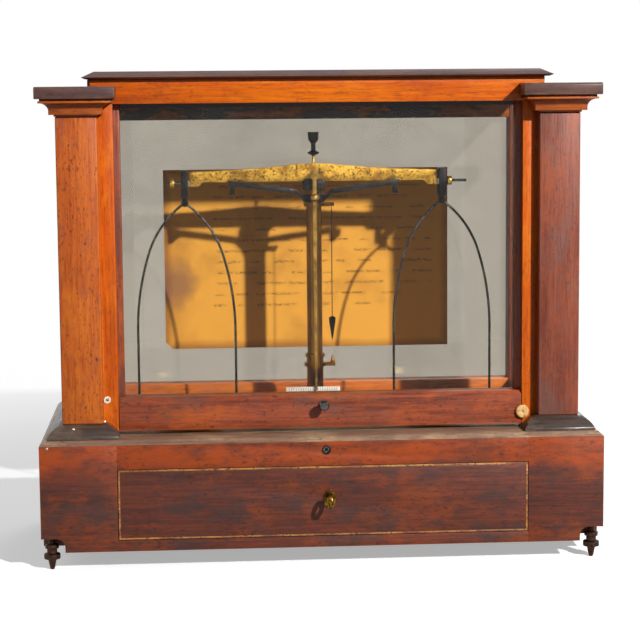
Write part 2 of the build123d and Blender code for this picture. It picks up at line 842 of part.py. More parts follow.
# Pillar head: a block on the pillar and two cheeks whose tops carry the middle knife
cheek_outer = cheek_inner + cheek_thick
head_block_top = knife_z - cheek_rise
with BuildPart() as pillar_head:
    block(-head_half, head_half, axis_y - cheek_outer, axis_y + cheek_outer, head_low,
          head_block_top)
    for side in (-1, 1):
        block(-head_half, head_half, axis_y + side * cheek_inner, axis_y + side * cheek_outer,
              head_block_top, knife_z)
save(pillar_head, "pillar_head")

# Beam: a brass plate, level below and tapering above, with a stem for the gravity bob
knife_edge = knife_z + knife_gap
stem_foot = beam_mid_top - stem_sunk
beam_foot_low = beam_low - beam_foot_drop
beam_hollow_z = (beam_end_top + beam_mid_top) / 2 - beam_hollow
with BuildPart() as middle_knife:
    with BuildSketch(Plane((0, axis_y, 0), x_dir=(1, 0, 0), z_dir=(0, -1, 0))):
        with BuildLine():
            Polyline((0, knife_edge), (knife_half, knife_edge + knife_drop),
                     (knife_half, knife_edge + knife_drop + knife_body),
                     (-knife_half, knife_edge + knife_drop + knife_body),
                     (-knife_half, knife_edge + knife_drop), close=True)
        make_face()
    extrude(amount=cheek_outer + knife_out, both=True)

with BuildPart() as beam:
    with BuildSketch(Plane((0, axis_y, 0), x_dir=(1, 0, 0), z_dir=(0, -1, 0))):
        with BuildLine():
            Polyline((-beam_half, beam_end_top), (-beam_half, beam_foot_low),
                     (beam_foot - beam_half, beam_foot_low),
                     (beam_foot + beam_foot_drop - beam_half, beam_low),
                     (beam_half - beam_foot - beam_foot_drop, beam_low),
                     (beam_half - beam_foot, beam_foot_low), (beam_half, beam_foot_low),
                     (beam_half, beam_end_top))
            ThreePointArc((beam_half, beam_end_top),
                          (beam_half / 2, beam_hollow_z), (beam_mid_half, beam_mid_top))
            Line((beam_mid_half, beam_mid_top), (-beam_mid_half, beam_mid_top))
            ThreePointArc((-beam_mid_half, beam_mid_top),
                          (-beam_half / 2, beam_hollow_z), (-beam_half, beam_end_top))
        make_face()
    extrude(amount=beam_thick / 2, both=True)
    fillet(beam.edges().filter_by(Axis.Y).group_by(Axis.Z)[-2], beam_foot_round)
    add(middle_knife.part, mode=Mode.SUBTRACT)
    upright(0, axis_y, stem_foot, bob_top - stem_short, stem_radius)
save(beam, "beam")

# Knives: one under the middle, and one on each end block with its adjusting screw
block_out = arm_length + end_block_over
block_low = beam_foot_low
block_top = knife_z - end_block_gap
knife_in = arm_length - end_knife_half
knife_far = arm_length + end_knife_half
end_blocks = [middle_knife]
for side, screw_end in ((-1, end_screw_left), (1, end_screw_right)):
    with BuildPart() as end_block:
        with BuildSketch(Plane((0, axis_y, 0), x_dir=(1, 0, 0), z_dir=(0, -1, 0))):
            with BuildLine():
                Polyline((side * beam_half, block_low), (side * block_out, block_low),
                         (side * block_out, block_top), (side * knife_far, block_top),
                         (side * arm_length, knife_z), (side * knife_in, block_top),
                         (side * beam_half, block_top), close=True)
            make_face()
        extrude(amount=end_block_thick / 2, both=True)
        with BuildSketch(Plane((0, axis_y, 0), x_dir=(1, 0, 0), z_dir=(0, -1, 0))):
            with BuildLine():
                Polyline((side * knife_far, block_top), (side * arm_length, knife_z),
                         (side * knife_in, block_top), close=True)
            make_face()
        extrude(amount=knife_half_length, both=True)
        along_x(axis_y, end_screw_z, side * (block_out - 1), side * screw_end,
                end_screw_radius)
    end_blocks.append(end_block)
save_group(end_blocks, "knife_edges")

for name, x in (("left", left_nut_x), ("right", right_nut_x)):
    with BuildPart() as nut:
        along_x(axis_y, end_screw_z, x - nut_thick / 2, x + nut_thick / 2, nut_radius)
        along_x(axis_y, end_screw_z, x - nut_thick, x + nut_thick,
                end_screw_radius + nut_play, Mode.SUBTRACT)
    save(nut, f"adjusting_nut_{name}")

# Gravity bob: a goblet on the beam's stem, its foot a milled disc
bob_bore = stem_radius + nut_play
bob_outline = ((bob_bore, bob_low), (1.7, bob_low), (4.0, bob_low + 1.2), (4.0, bob_low + 2.0),
               (1.7, bob_low + 3.2), (1.6, bob_low + 8.3), (2.6, bob_low + 9.3),
               (3.7, bob_low + 11.2), (3.9, bob_top), (0, bob_top), (0, bob_top - bob_roof),
               (bob_bore, bob_top - bob_roof))
with BuildPart() as gravity_bob:
    turned(0, axis_y, bob_outline)
save(gravity_bob, "gravity_bob")

# Pointer on the front end of the middle knife, running down before the pillar
pointer_top = knife_z + pointer_over
pointer_seat = axis_y - cheek_outer - knife_out
with BuildPart() as pointer:
    with BuildSketch(Plane((0, pointer_y, 0), x_dir=(1, 0, 0), z_dir=(0, -1, 0))):
        with BuildLine():
            Polyline((-pointer_tip_half, pointer_tip + pointer_point), (0, pointer_tip),
                     (pointer_tip_half, pointer_tip + pointer_point), (pointer_half, pointer_top),
                     (-pointer_half, pointer_top), close=True)
        make_face()
    extrude(amount=pointer_thick / 2, both=True)
    with Locations((0, pointer_y, pointer_ball_z)):
        Sphere(pointer_ball_radius)
    along_y(0, knife_z + pointer_boss_up, pointer_y - pointer_thick / 2, pointer_seat,
            pointer_boss_radius)
save(pointer, "pointer")

# Ivory scale behind the pointer's tip, standing on the pillar's flange
scale_front = pointer_y + scale_gap
with BuildPart() as ivory_scale:
    block(scale_left, scale_right, scale_front, scale_front + scale_thick,
          floor_z + flange_height, scale_top)
save(ivory_scale, "ivory_scale")

# Stirrups on the end knives, with a pin below for the bow
stirrup_leg_in = knife_half_length + stirrup_gap
stirrup_leg_out = stirrup_leg_in + stirrup_leg
stirrup_seat = knife_edge
for name, side in (("left", -1), ("right", 1)):
    middle = side * arm_length
    with BuildPart() as stirrup:
        block(middle - stirrup_half, middle + stirrup_half, axis_y - stirrup_leg_out,
              axis_y + stirrup_leg_out, stirrup_seat, stirrup_seat + stirrup_top_bar)
        for across in (-1, 1):
            block(middle - stirrup_half, middle + stirrup_half,
                  axis_y + across * stirrup_leg_in, axis_y + across * stirrup_leg_out,
                  stirrup_low - stirrup_bar, stirrup_seat)
            block(middle - ear_half, middle + ear_half, axis_y + across * ear_gap,
                  axis_y + across * (ear_gap + ear_thick), hook_z - ear_half,
                  stirrup_low - stirrup_bar)
        block(middle - stirrup_half, middle + stirrup_half, axis_y - stirrup_leg_out,
              axis_y + stirrup_leg_out, stirrup_low - stirrup_bar, stirrup_low)
        along_y(middle, hook_z, axis_y - ear_gap - ear_thick, axis_y + ear_gap + ear_thick,
                pin_radius)
    save(stirrup, f"stirrup_{name}")

    # Bow: two wires from an eye, swelling to upright legs and turned in under the pan
    side_angle = degrees(asin(bow_side_rise / bow_side_radius))
    side_x = bow_half - bow_side_radius * (1 - cos(radians(side_angle)))
    side_z = bow_shoulder_z + bow_side_rise
    top_centre_x = side_x - bow_top_radius * cos(radians(side_angle))
    top_centre_z = side_z - bow_top_radius * sin(radians(side_angle))
    top_angle = degrees(acos((bow_top_half - top_centre_x) / bow_top_radius))
    face_plane = Plane((middle, axis_y, 0), x_dir=(1, 0, 0), z_dir=(0, -1, 0))
    with BuildPart() as bow:
        with BuildLine(face_plane) as wire_line:
            Line((pan_seat_radius - bow_overlap, bow_foot_z),
                 (bow_half - bow_corner, bow_foot_z))
            CenterArc((bow_half - bow_corner, bow_foot_z + bow_corner), bow_corner, 270, 90)
            Line((bow_half, bow_foot_z + bow_corner), (bow_half, bow_shoulder_z))
            CenterArc((bow_half - bow_side_radius, bow_shoulder_z), bow_side_radius, 0,
                      side_angle)
            CenterArc((top_centre_x, top_centre_z), bow_top_radius, side_angle,
                      top_angle - side_angle)
        with BuildSketch(Plane((middle + pan_seat_radius - bow_overlap, axis_y, bow_foot_z),
                               z_dir=(1, 0, 0))):
            Circle(bow_wire)
        sweep(path=wire_line.line)
        mirror(about=Plane((middle, axis_y, 0), z_dir=(1, 0, 0)))
        upright(middle, axis_y, bow_foot_z - bow_wire, bow_seat_top, pan_seat_radius)
        along_y(middle, hook_z, axis_y - ear_gap + bow_eye_play,
                axis_y + ear_gap - bow_eye_play, bow_eye_radius)
        along_y(middle, hook_z, axis_y - ear_gap, axis_y + ear_gap, pin_radius + pin_play,
                Mode.SUBTRACT)
    save(bow, f"bow_{name}")

    pan_rim = bow_seat_top + pan_depth
    pan_floor = bow_seat_top + pan_wall
    with BuildPart() as pan:
        turned(middle, axis_y, ((0, bow_seat_top), (pan_flat, bow_seat_top),
                                (pan_radius, pan_rim), (pan_radius - pan_wall, pan_rim),
                                (pan_flat - pan_wall / 2, pan_floor), (0, pan_floor)))
    save(pan, f"pan_{name}")

# Arrestment: a collar sliding on the pillar carries two arms with pads under the beam
collar_bore = pillar_radius + rod_play
collar_radius = collar_bore + collar_wall
arm_back = arm_front + arm_thick
collar_top = collar_low + collar_height
with BuildPart() as arrestment_arms:
    upright(0, axis_y, collar_low, collar_top, collar_radius)
    for side in (-1, 1):
        with BuildSketch(Plane((0, arm_back, 0), x_dir=(1, 0, 0), z_dir=(0, -1, 0))):
            with BuildLine():
                Polyline((side * arm_root_in, collar_low + arm_root_low),
                         (side * arm_root_out, collar_low + arm_root_low),
                         (side * (arm_in_x + arm_root), arm_in_z - arm_height / 2),
                         (side * arm_out_x, arm_out_z - arm_height / 2),
                         (side * arm_out_x, arm_out_z + arm_height / 2),
                         (side * (arm_in_x + arm_root), arm_in_z + arm_height / 2),
                         (side * (head_half + head_clear), collar_top - arm_root_top),
                         (side * arm_root_in, collar_top - arm_root_top), close=True)
            make_face()
        extrude(amount=arm_thick)
        block(side * (pad_x - pad_half), side * (pad_x + pad_half), arm_front, arm_back,
              pad_low, arm_out_z - pad_overlap)
        block(side * (pad_x - pad_half), side * (pad_x + pad_half), arm_back,
              axis_y + beam_thick / 2, pad_low, pad_top)
    upright(0, axis_y, collar_low - 1, collar_top + 4, collar_bore, Mode.SUBTRACT)
    along_x(axis_y, collar_mid, -collar_radius - 1, collar_radius + 1, pin_half,
            Mode.SUBTRACT)
save(arrestment_arms, "arrestment_arms")

rod_low = spindle_z + cam_radius - lift / 2 + cam_gap
with BuildPart() as arrestment_rod:
    upright(0, axis_y, rod_low, collar_top, rod_radius)
    along_x(axis_y, collar_mid, -collar_radius, collar_radius, pin_half)
save(arrestment_rod, "arrestment_rod")

# Spindle from the keyhole collar to the cam under the rod, with a square key socket
spindle_end = front + spindle_end_in
with BuildPart() as arrestment_spindle:
    along_y(spindle_x, spindle_z, spindle_end, axis_y + cam_thick, spindle_radius)
    along_y(spindle_x, spindle_z - lift / 2, axis_y - cam_thick / 2, axis_y + cam_thick / 2,
            cam_radius)
    block(spindle_x - socket_half, spindle_x + socket_half, spindle_end,
          spindle_end + socket_deep, spindle_z - socket_half, spindle_z + socket_half,
          Mode.SUBTRACT)
save(arrestment_spindle, "arrestment_spindle")

# Plumb line: a bracket on the pillar, a bob on its thread and a fixed point below
with BuildPart() as plumb_brackets:
    upright(0, axis_y, bracket_low, bracket_low + bracket_thick, pillar_radius + bracket_over)
    block(0, plumb_x + bracket_over, axis_y - bracket_half, axis_y + bracket_half,
          bracket_low, bracket_low + bracket_thick)
    upright(0, axis_y, bracket_low - 1, bracket_low + bracket_thick + 1, pillar_radius,
            Mode.SUBTRACT)
with BuildPart() as plumb_point:
    upright(0, axis_y, fixed_point_z - bracket_thick, fixed_point_z,
            pillar_low_radius + bracket_over)
    block(0, plumb_x + bracket_over, axis_y - bracket_half, axis_y + bracket_half,
          fixed_point_z - bracket_thick, fixed_point_z)
    turned(plumb_x, axis_y, ((0, fixed_point_z - 1), (point_radius, fixed_point_z - 1),
                             (point_radius, fixed_point_z + 1), (thread_radius, point_top),
                             (0, point_top)))
    upright(0, axis_y, fixed_point_z - bracket_thick - 1, fixed_point_z + 1,
            pillar_low_radius, Mode.SUBTRACT)
save_group((plumb_brackets, plumb_point), "plumb_brackets")

# Plumb bob on its thread
thread_end = bracket_low - thread_play
plumb_outline = ((0, plumb_bob_low), (thread_radius, plumb_bob_low),
                 (plumb_bob_radius, plumb_bob_top - 3.4), (plumb_bob_radius, plumb_bob_top - 1.0),
                 (1.0, plumb_bob_top), (thread_radius, plumb_bob_top), (thread_radius, thread_end),
                 (0, thread_end))
with BuildPart() as plumb_bob:
    turned(plumb_x, axis_y, plumb_outline)
save(plumb_bob, "plumb_bob")
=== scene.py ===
import json
from math import cos, pi, radians, sin

import bmesh
import bpy
from mathutils import Matrix, Vector

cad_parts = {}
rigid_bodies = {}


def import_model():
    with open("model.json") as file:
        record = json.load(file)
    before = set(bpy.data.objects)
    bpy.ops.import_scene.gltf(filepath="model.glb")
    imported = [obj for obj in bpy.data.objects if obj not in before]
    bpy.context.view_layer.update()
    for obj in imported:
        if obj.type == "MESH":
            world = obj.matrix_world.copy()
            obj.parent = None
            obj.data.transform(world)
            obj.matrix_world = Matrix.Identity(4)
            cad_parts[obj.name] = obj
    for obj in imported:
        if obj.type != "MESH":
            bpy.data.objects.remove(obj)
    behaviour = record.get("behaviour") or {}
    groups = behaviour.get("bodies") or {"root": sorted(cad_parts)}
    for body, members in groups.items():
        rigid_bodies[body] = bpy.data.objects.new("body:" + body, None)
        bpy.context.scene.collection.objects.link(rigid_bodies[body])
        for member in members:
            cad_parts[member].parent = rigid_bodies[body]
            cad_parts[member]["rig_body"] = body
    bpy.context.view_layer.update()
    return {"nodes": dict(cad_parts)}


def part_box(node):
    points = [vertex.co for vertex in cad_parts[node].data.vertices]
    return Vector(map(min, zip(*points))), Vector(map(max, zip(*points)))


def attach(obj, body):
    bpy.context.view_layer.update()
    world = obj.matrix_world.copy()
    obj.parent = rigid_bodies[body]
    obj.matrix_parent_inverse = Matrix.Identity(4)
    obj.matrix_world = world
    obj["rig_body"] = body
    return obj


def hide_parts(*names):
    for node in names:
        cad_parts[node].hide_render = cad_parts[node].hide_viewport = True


# A cased analytical balance, about 1900: mahogany case with a rising sash, a drawer below,
# and a brass beam on a pillar. Metres, +Z up, +X to the right from the front, front to -Y.
for thing in list(bpy.data.objects):
    bpy.data.objects.remove(thing)
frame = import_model()


# Base: front rails and ends, sides, back and bottom of solid mahogany, glued and pinned.
# French polish over stain, now dark and crazed, rubbed back to red wood along its top edge
# and corners, with ink and damp spots.
def linear(hex_colour):
    """A colour picked as sRGB hex, as the linear values that a shader takes."""
    parts = [int(hex_colour[i : i + 2], 16) / 255 for i in (1, 3, 5)]
    return tuple(c / 12.92 if c <= 0.04045 else ((c + 0.055) / 1.055) ** 2.4 for c in parts) + (1,)


def add(tree, kind, wires=None, ramp=None, **settings):
    """One node: its settings, then its sockets, each linked to an output or given a value."""
    node = tree.nodes.new(kind)
    for name, value in settings.items():
        setattr(node, name, value)
    for name, value in (wires or {}).items():
        if isinstance(value, bpy.types.NodeSocket):
            tree.links.new(value, node.inputs[name])
        else:
            node.inputs[name].default_value = value
    for stop, (place, colour) in enumerate(ramp or ()):
        points = node.color_ramp.elements
        point = points[stop] if stop < len(points) else points.new(place)
        point.position = place
        point.color = colour
    return node


def blank_material(name):
    material = bpy.data.materials.new(name)
    material.use_nodes = True
    material.node_tree.nodes.clear()
    return material, material.node_tree


def grey(level):
    return (level, level, level, 1)


def polished_mahogany(name, deep, mid, light, rubbed, stain, glow, stained, gloss, specks, wear,
                      zone=None):
    """French-polished mahogany: ribbon figure and open pores along the timber, patches of
    share glow rubbed back to warm wood and of share stained gone dark, black specks, and
    bare wood where the arrises are rubbed. zone is a band of height (low, high, colour,
    strength) painted over: rubbed back further on the base, painted shade on the back rails."""
    material, tree = blank_material(name)
    place = add(tree, "ShaderNodeAttribute", attribute_name="grain").outputs["Vector"]

    def noise(stretch, detail, roughness=0.6, distortion=0.0):
        run = add(tree, "ShaderNodeMapping", {"Vector": place, "Scale": stretch})
        return add(tree, "ShaderNodeTexNoise", {"Vector": run.outputs[0], "Scale": 1.0,
                   "Detail": detail, "Roughness": roughness,
                   "Distortion": distortion}).outputs["Fac"]

    def between(value, low, high, least, most):
        return add(tree, "ShaderNodeMapRange", {"Value": value, "From Min": low, "From Max": high,
                   "To Min": least, "To Max": most}).outputs["Result"]

    def over(share, under, colour, blend="MIX"):
        return add(tree, "ShaderNodeMix", {"Factor": share, "A": under, "B": colour},
                   data_type="RGBA", blend_type=blend).outputs[2]

    # ribbon figure about 2 cm wide and 25 cm long, with fine lines 2 mm wide in it
    figure = add(tree, "ShaderNodeMix", {"Factor": 0.45, "A": noise((4, 50, 50), 4.0, 0.6, 0.6),
                 "B": noise((22, 520, 520), 3.0)}).outputs[0]
    wood = add(tree, "ShaderNodeValToRGB", {"Fac": figure}, [(0.34, linear(deep)),
               (0.5, linear(mid)), (0.66, linear(light))]).outputs["Color"]
    # patches a few centimetres across, longer along the timber, with ragged borders
    clouds = noise((19, 42, 42), 7.0, 0.7)
    wood = over(between(clouds, 0.5, 0.6, 0.0, glow), wood, linear(rubbed))
    dulled = noise((24, 40, 40), 7.0, 0.68)
    wood = over(between(dulled, 0.5, 0.62, 0.0, stained), wood, linear(stain))
    # blots of 3 mm where drops stood
    blots = noise((95, 190, 190), 3.0, 0.6)
    wood = over(between(blots, 0.58, 0.7, 0.0, 0.7 * stained), wood, linear(stain))
    # pores, drawn 1 mm wide so that they show; real ones are a quarter of that
    pores = noise((90, 1000, 1000), 3.0, 0.55)
    wood = over(0.8, wood, add(tree, "ShaderNodeValToRGB", {"Fac": pores},
                [(0.52, grey(1)), (0.68, grey(0.62))]).outputs["Color"], "MULTIPLY")
    # how far a point lies from the timber's nearest arris: the second smallest of its
    # distances in from the six sides
    inner = add(tree, "ShaderNodeVectorMath", {0: add(tree, "ShaderNodeAttribute",
                attribute_name="off_middle").outputs["Vector"]}, operation="ABSOLUTE")
    inner = add(tree, "ShaderNodeVectorMath", {0: add(tree, "ShaderNodeAttribute",
                attribute_name="half_size").outputs["Vector"], 1: inner.outputs[0]},
                operation="SUBTRACT")
    sides = add(tree, "ShaderNodeSeparateXYZ", {"Vector": inner.outputs[0]}).outputs
    nearer = add(tree, "ShaderNodeMath", {0: sides["X"], 1: sides["Y"]}, operation="MINIMUM")
    farther = add(tree, "ShaderNodeMath", {0: sides["X"], 1: sides["Y"]}, operation="MAXIMUM")
    farther = add(tree, "ShaderNodeMath", {0: farther.outputs[0], 1: sides["Z"]},
                  operation="MINIMUM")
    arris = add(tree, "ShaderNodeMath", {0: nearer.outputs[0], 1: farther.outputs[0]},
                operation="MAXIMUM").outputs[0]
    # the wear frays by up to 2 mm
    arris = add(tree, "ShaderNodeMath", {0: noise((70, 190, 190), 5.0, 0.7), 1: 0.004,
                2: arris}, operation="MULTIPLY_ADD").outputs[0]
    wood = over(between(arris, 0.0016, 0.003, wear, 0.0), wood, linear(rubbed))
    if zone:
        # a zone is rubbed wood on the base and painted shade on the back rails; the patches below
        # thin it in both
        low, high, colour, strength = zone
        height = add(tree, "ShaderNodeSeparateXYZ", {"Vector":
                     add(tree, "ShaderNodeTexCoord").outputs["Object"]}).outputs["Z"]
        ragged = add(tree, "ShaderNodeMath", {0: clouds, 1: 3 * (high - low), 2: height},
                     operation="MULTIPLY_ADD").outputs[0]
        lift = 1.5 * (high - low)
        banded = between(ragged, low + lift, high + lift, 0.0, strength)
        worn = between(noise((26, 70, 70), 6.0, 0.7), 0.4, 0.56, 0.25, 1.0)
        banded = add(tree, "ShaderNodeMath", {0: banded, 1: worn}, operation="MULTIPLY")
        wood = over(banded.outputs[0], wood, linear(colour))
    # ink and damp specks about 1 mm wide and 2 mm long, in crowds
    crowded = add(tree, "ShaderNodeMath", {0: noise((30, 45, 45), 2.0), 1: 0.4,
                  2: noise((300, 520, 520), 1.0)}, operation="MULTIPLY_ADD").outputs[0]
    wood = over(between(crowded, 0.8, 1.0, 0.0, specks), wood, linear("#2C100A"))
    relief = add(tree, "ShaderNodeMath", {0: pores, 1: -0.6, 2: figure},
                 operation="MULTIPLY_ADD").outputs[0]
    bump = add(tree, "ShaderNodeBump", {"Height": relief, "Strength": 0.35, "Distance": 0.0004})
    shader = add(tree, "ShaderNodeBsdfPrincipled", {"Base Color": wood,
                 "Roughness": between(clouds, 0.3, 0.7, gloss, gloss + 0.25),
                 "Normal": bump.outputs["Normal"], "Specular IOR Level": 0.25,
                 "Coat Weight": 0.05, "Coat Roughness": 0.2})
    add(tree, "ShaderNodeOutputMaterial", {"Surface": shader.outputs[0]})
    return material


def timbers(node):
    """A node's triangles by solid: those that share an edge with just one other."""
    mesh = frame["nodes"][node].data
    spots = [tuple(round(c, 6) for c in point.co) for point in mesh.vertices]
    faces = [[spots[i] for i in face.vertices] for face in mesh.polygons]
    users = {}
    for index, face in enumerate(faces):
        for a, b in zip(face, face[1:] + face[:1]):
            users.setdefault(frozenset((a, b)), []).append(index)
    home = list(range(len(faces)))

    def root(index):
        while home[index] != index:
            index = home[index]
        return index

    for pair in users.values():
        if len(pair) == 2:
            home[root(pair[0])] = root(pair[1])
    groups = {}
    for index, face in enumerate(faces):
        groups.setdefault(root(index), []).append(face)
    return list(groups.values())


def finished(node, material, arris, run="long", rails=None):
    """A node's solids with their arrises eased by arris, standing for the node. Each corner
    of a face keeps its place along the timber in grain, and its place from the timber's
    middle and the timber's half size. run is long for straight timber, round for a moulding
    along X, then Y, and across for timbers under one sheet of figure along X. rails is the
    finish of the solids that don't stand upright."""
    mesh = bmesh.new()
    timber = mesh.faces.layers.int.new("timber")
    grain_layer = mesh.loops.layers.float_vector.new("grain")
    off_layer = mesh.loops.layers.float_vector.new("off_middle")
    half_layer = mesh.loops.layers.float_vector.new("half_size")
    middles, halves, longest = [], [], []
    for number, faces in enumerate(timbers(node)):
        corners = {}
        for face in faces:
            for spot in face:
                if spot not in corners:
                    corners[spot] = mesh.verts.new(spot)
            mesh.faces.new([corners[spot] for spot in face])[timber] = number
        low = Vector([min(spot[i] for spot in corners) for i in range(3)])
        high = Vector([max(spot[i] for spot in corners) for i in range(3)])
        middles.append((low + high) / 2)
        halves.append((high - low) / 2)
        longest.append(max(range(3), key=lambda i: halves[-1][i]))
    bmesh.ops.dissolve_limit(mesh, angle_limit=radians(0.5), verts=mesh.verts, edges=mesh.edges)
    sharp = [e for e in mesh.edges if e.is_manifold and e.calc_face_angle() > radians(35)]
    bmesh.ops.bevel(mesh, geom=sharp, offset=arris, offset_type="OFFSET", segments=2,
                    profile=0.5, affect="EDGES", clamp_overlap=True)
    low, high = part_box(node)
    whole, half_whole = (low + high) / 2, (high - low) / 2
    for face in mesh.faces:
        face.smooth = True
        number = face[timber]
        along = longest[number]
        shift = 0.37 * number + 0.11 * len(node)
        if run == "round":
            along = 1 if abs(face.normal.x) > 0.6 else 0
        elif run == "across":
            along = shift = 0
        if rails and longest[number] != 2:
            face.material_index = 1
        for corner in face.loops:
            place = corner.vert.co
            corner[grain_layer] = (place[along] + shift, place[(along + 1) % 3],
                                   place[(along + 2) % 3])
            corner[off_layer] = place - (whole if run == "across" else middles[number])
            corner[half_layer] = half_whole if run == "across" else halves[number]
    data = bpy.data.meshes.new(f"{node}_finished")
    mesh.to_mesh(data)
    mesh.free()
    data.set_sharp_from_angle(angle=radians(50))
    for finish in (material, rails) if rails else (material,):
        data.materials.append(finish)
    return place_piece(bpy.data.objects.new(f"{node}_finished", data), node)


def place_piece(piece, node):
    """Puts a piece on its node's body, in the node's stead."""
    bpy.context.scene.collection.objects.link(piece)
    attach(piece, frame["nodes"][node]["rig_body"])
    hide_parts(node)
    return piece


base_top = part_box("base_front")[1].z
base_wood = polished_mahogany(
    "stained_mahogany_french_polished", "#381D17", "#5A2B1E", "#743620", "#8E4018", "#3A2A28",
    0.55, 0.75, 0.3, 0.6, 0.4, zone=(base_top - 0.024, base_top - 0.012, "#A44414", 0.8))
finished("base_front", base_wood, 0.0007, run="across")
for node in ("base_sides", "base_back"):
    finished(node, base_wood, 0.0007)


# Bottom board and drawer guides: plain sawn pine, glued in, never polished.
# Pale yellow with darker growth lines, dull and a little dusty.
def sawn_pine(name, pale, line, dust):
    """Bare pine from the saw: uneven growth lines about 5 mm apart, no polish, fuzzy."""
    material, tree = blank_material(name)
    place = add(tree, "ShaderNodeAttribute", attribute_name="grain").outputs["Vector"]
    run = add(tree, "ShaderNodeMapping", {"Vector": place, "Scale": (4, 200, 200)})
    rings = add(tree, "ShaderNodeTexNoise", {"Vector": run.outputs[0], "Scale": 1.0,
                "Detail": 3.0, "Roughness": 0.45, "Distortion": 0.4}).outputs["Fac"]
    wood = add(tree, "ShaderNodeValToRGB", {"Fac": rings},
               [(0.42, linear(pale)), (0.66, linear(line))]).outputs["Color"]
    clouds = add(tree, "ShaderNodeTexNoise", {"Vector": place, "Scale": 30.0, "Detail": 4.0})
    dull = add(tree, "ShaderNodeMapRange", {"Value": clouds.outputs["Fac"], "From Min": 0.4,
               "From Max": 0.7, "To Max": 0.6}).outputs["Result"]
    wood = add(tree, "ShaderNodeMix", {"Factor": dull, "A": wood, "B": linear(dust)},
               data_type="RGBA").outputs[2]
    bump = add(tree, "ShaderNodeBump", {"Height": rings, "Strength": 0.3, "Distance": 0.0004})
    shader = add(tree, "ShaderNodeBsdfPrincipled", {"Base Color": wood, "Roughness": 0.75,
                 "Normal": bump.outputs["Normal"]})
    add(tree, "ShaderNodeOutputMaterial", {"Surface": shader.outputs[0]})
    return material


pine = sawn_pine("pine_sawn_bare", "#C79B62", "#96683A", "#8A7358")
for node in ("base_bottom", "drawer_guides"):
    finished(node, pine, 0.0004)


# Case floor: a mahogany board over the base, its rim planed to a bevel, with the two
# plinths mitred round it. Both are greyed by handling and dust, and pale along the arris
# with wear and painted sheen; the floor's grey is partly painted sky reflection.
floor_wood = polished_mahogany(
    "mahogany_dusty_and_painted_sheen", "#63493A", "#8A6A56", "#9C7C66", "#C4AA7E", "#6A584C", 0.35,
    0.5, 0.26, 0.4, 0.6)
finished("case_floor", floor_wood, 0.0006)
plinth_wood = polished_mahogany(
    "mahogany_moulding_blackened", "#2E2622", "#4A3C34", "#5A4A40", "#86705A", "#3A322E", 0.25,
    0.5, 0.22, 0.3, 0.5)
for side in ("left", "right"):
    finished(f"plinth_{side}", plinth_wood, 0.0004, run="round")

# Pilasters: square mahogany posts glued on the plinths, figure upright.
# Red-brown under the polish, rubbed grey in patches and pricked with black specks.
pilaster_wood = polished_mahogany(
    "mahogany_french_polished_worn", "#60291A", "#80402C", "#94503A", "#A05030", "#705048",
    0.5, 0.6, 0.32, 0.5, 0.4)
# The left post takes a brighter, more orange copy of the same polish: painted light, where that
# post is lit more.
painted_lit_pilaster_wood = polished_mahogany(
    "mahogany_french_polished_painted_lit", "#983C14", "#B8581C", "#CC6C22", "#D07020", "#8A4A38",
    0.6, 0.5, 0.32, 0.8, 0.3)
finished("pilaster_left", painted_lit_pilaster_wood, 0.0008)
finished("pilaster_right", pilaster_wood, 0.0008)

# Capitals and cap plates: a moulding mitred round each post under a flat plate.
# The moulding is orange where light reaches; the plates are dark purple-brown and grey.
capital_wood = polished_mahogany(
    "mahogany_moulded_french_polished", "#60240A", "#A04A16", "#B86020", "#BE6A24", "#522412",
    0.5, 0.4, 0.3, 0.4, 0.3)
finished("capitals", capital_wood, 0.0003, run="round")
cap_wood = polished_mahogany(
    "mahogany_darkened_by_light", "#32201E", "#4E3431", "#62423C", "#8E6A54", "#3A2A2B", 0.15,
    0.5, 0.28, 0.4, 0.6)
finished("cap_plates", cap_wood, 0.0006, run="round")

# Guide strips, frieze and back rails: straight mahogany with a bright orange ribbon.
# The strips are glued between posts and floor, and the frieze is glued on their ends.
orange_wood = polished_mahogany(
    "orange_mahogany_french_polished", "#AA4200", "#C65600", "#E07002", "#DC7202", "#A04010",
    0.5, 0.5, 0.3, 0.35, 0.35)
for node in ("guide_strips", "frieze"):
    finished(node, orange_wood, 0.0004)
# The back rails take a copy painted near black above 270 mm: painted shade on the top rail, where
# the frieze and top board shadow it.
painted_shade_orange = polished_mahogany(
    "orange_mahogany_painted_shade_above", "#B04C18", "#D87022", "#EA8628", "#EA8622", "#A86044",
    0.5, 0.5, 0.3, 0.35, 0.35, zone=(0.270, 0.272, "#1E1615", 1.0))
finished("back_rails", painted_shade_orange, 0.0004)

# Side frames: two stiles and two rails each, tenoned together round a pane.
for node in ("side_frame_left", "side_frame_right"):
    finished(node, pilaster_wood, 0.0006)

# Top board: dark mahogany with a thin lip and a wide bevel, glued over the frieze.
finished("top_board", cap_wood, 0.0004)


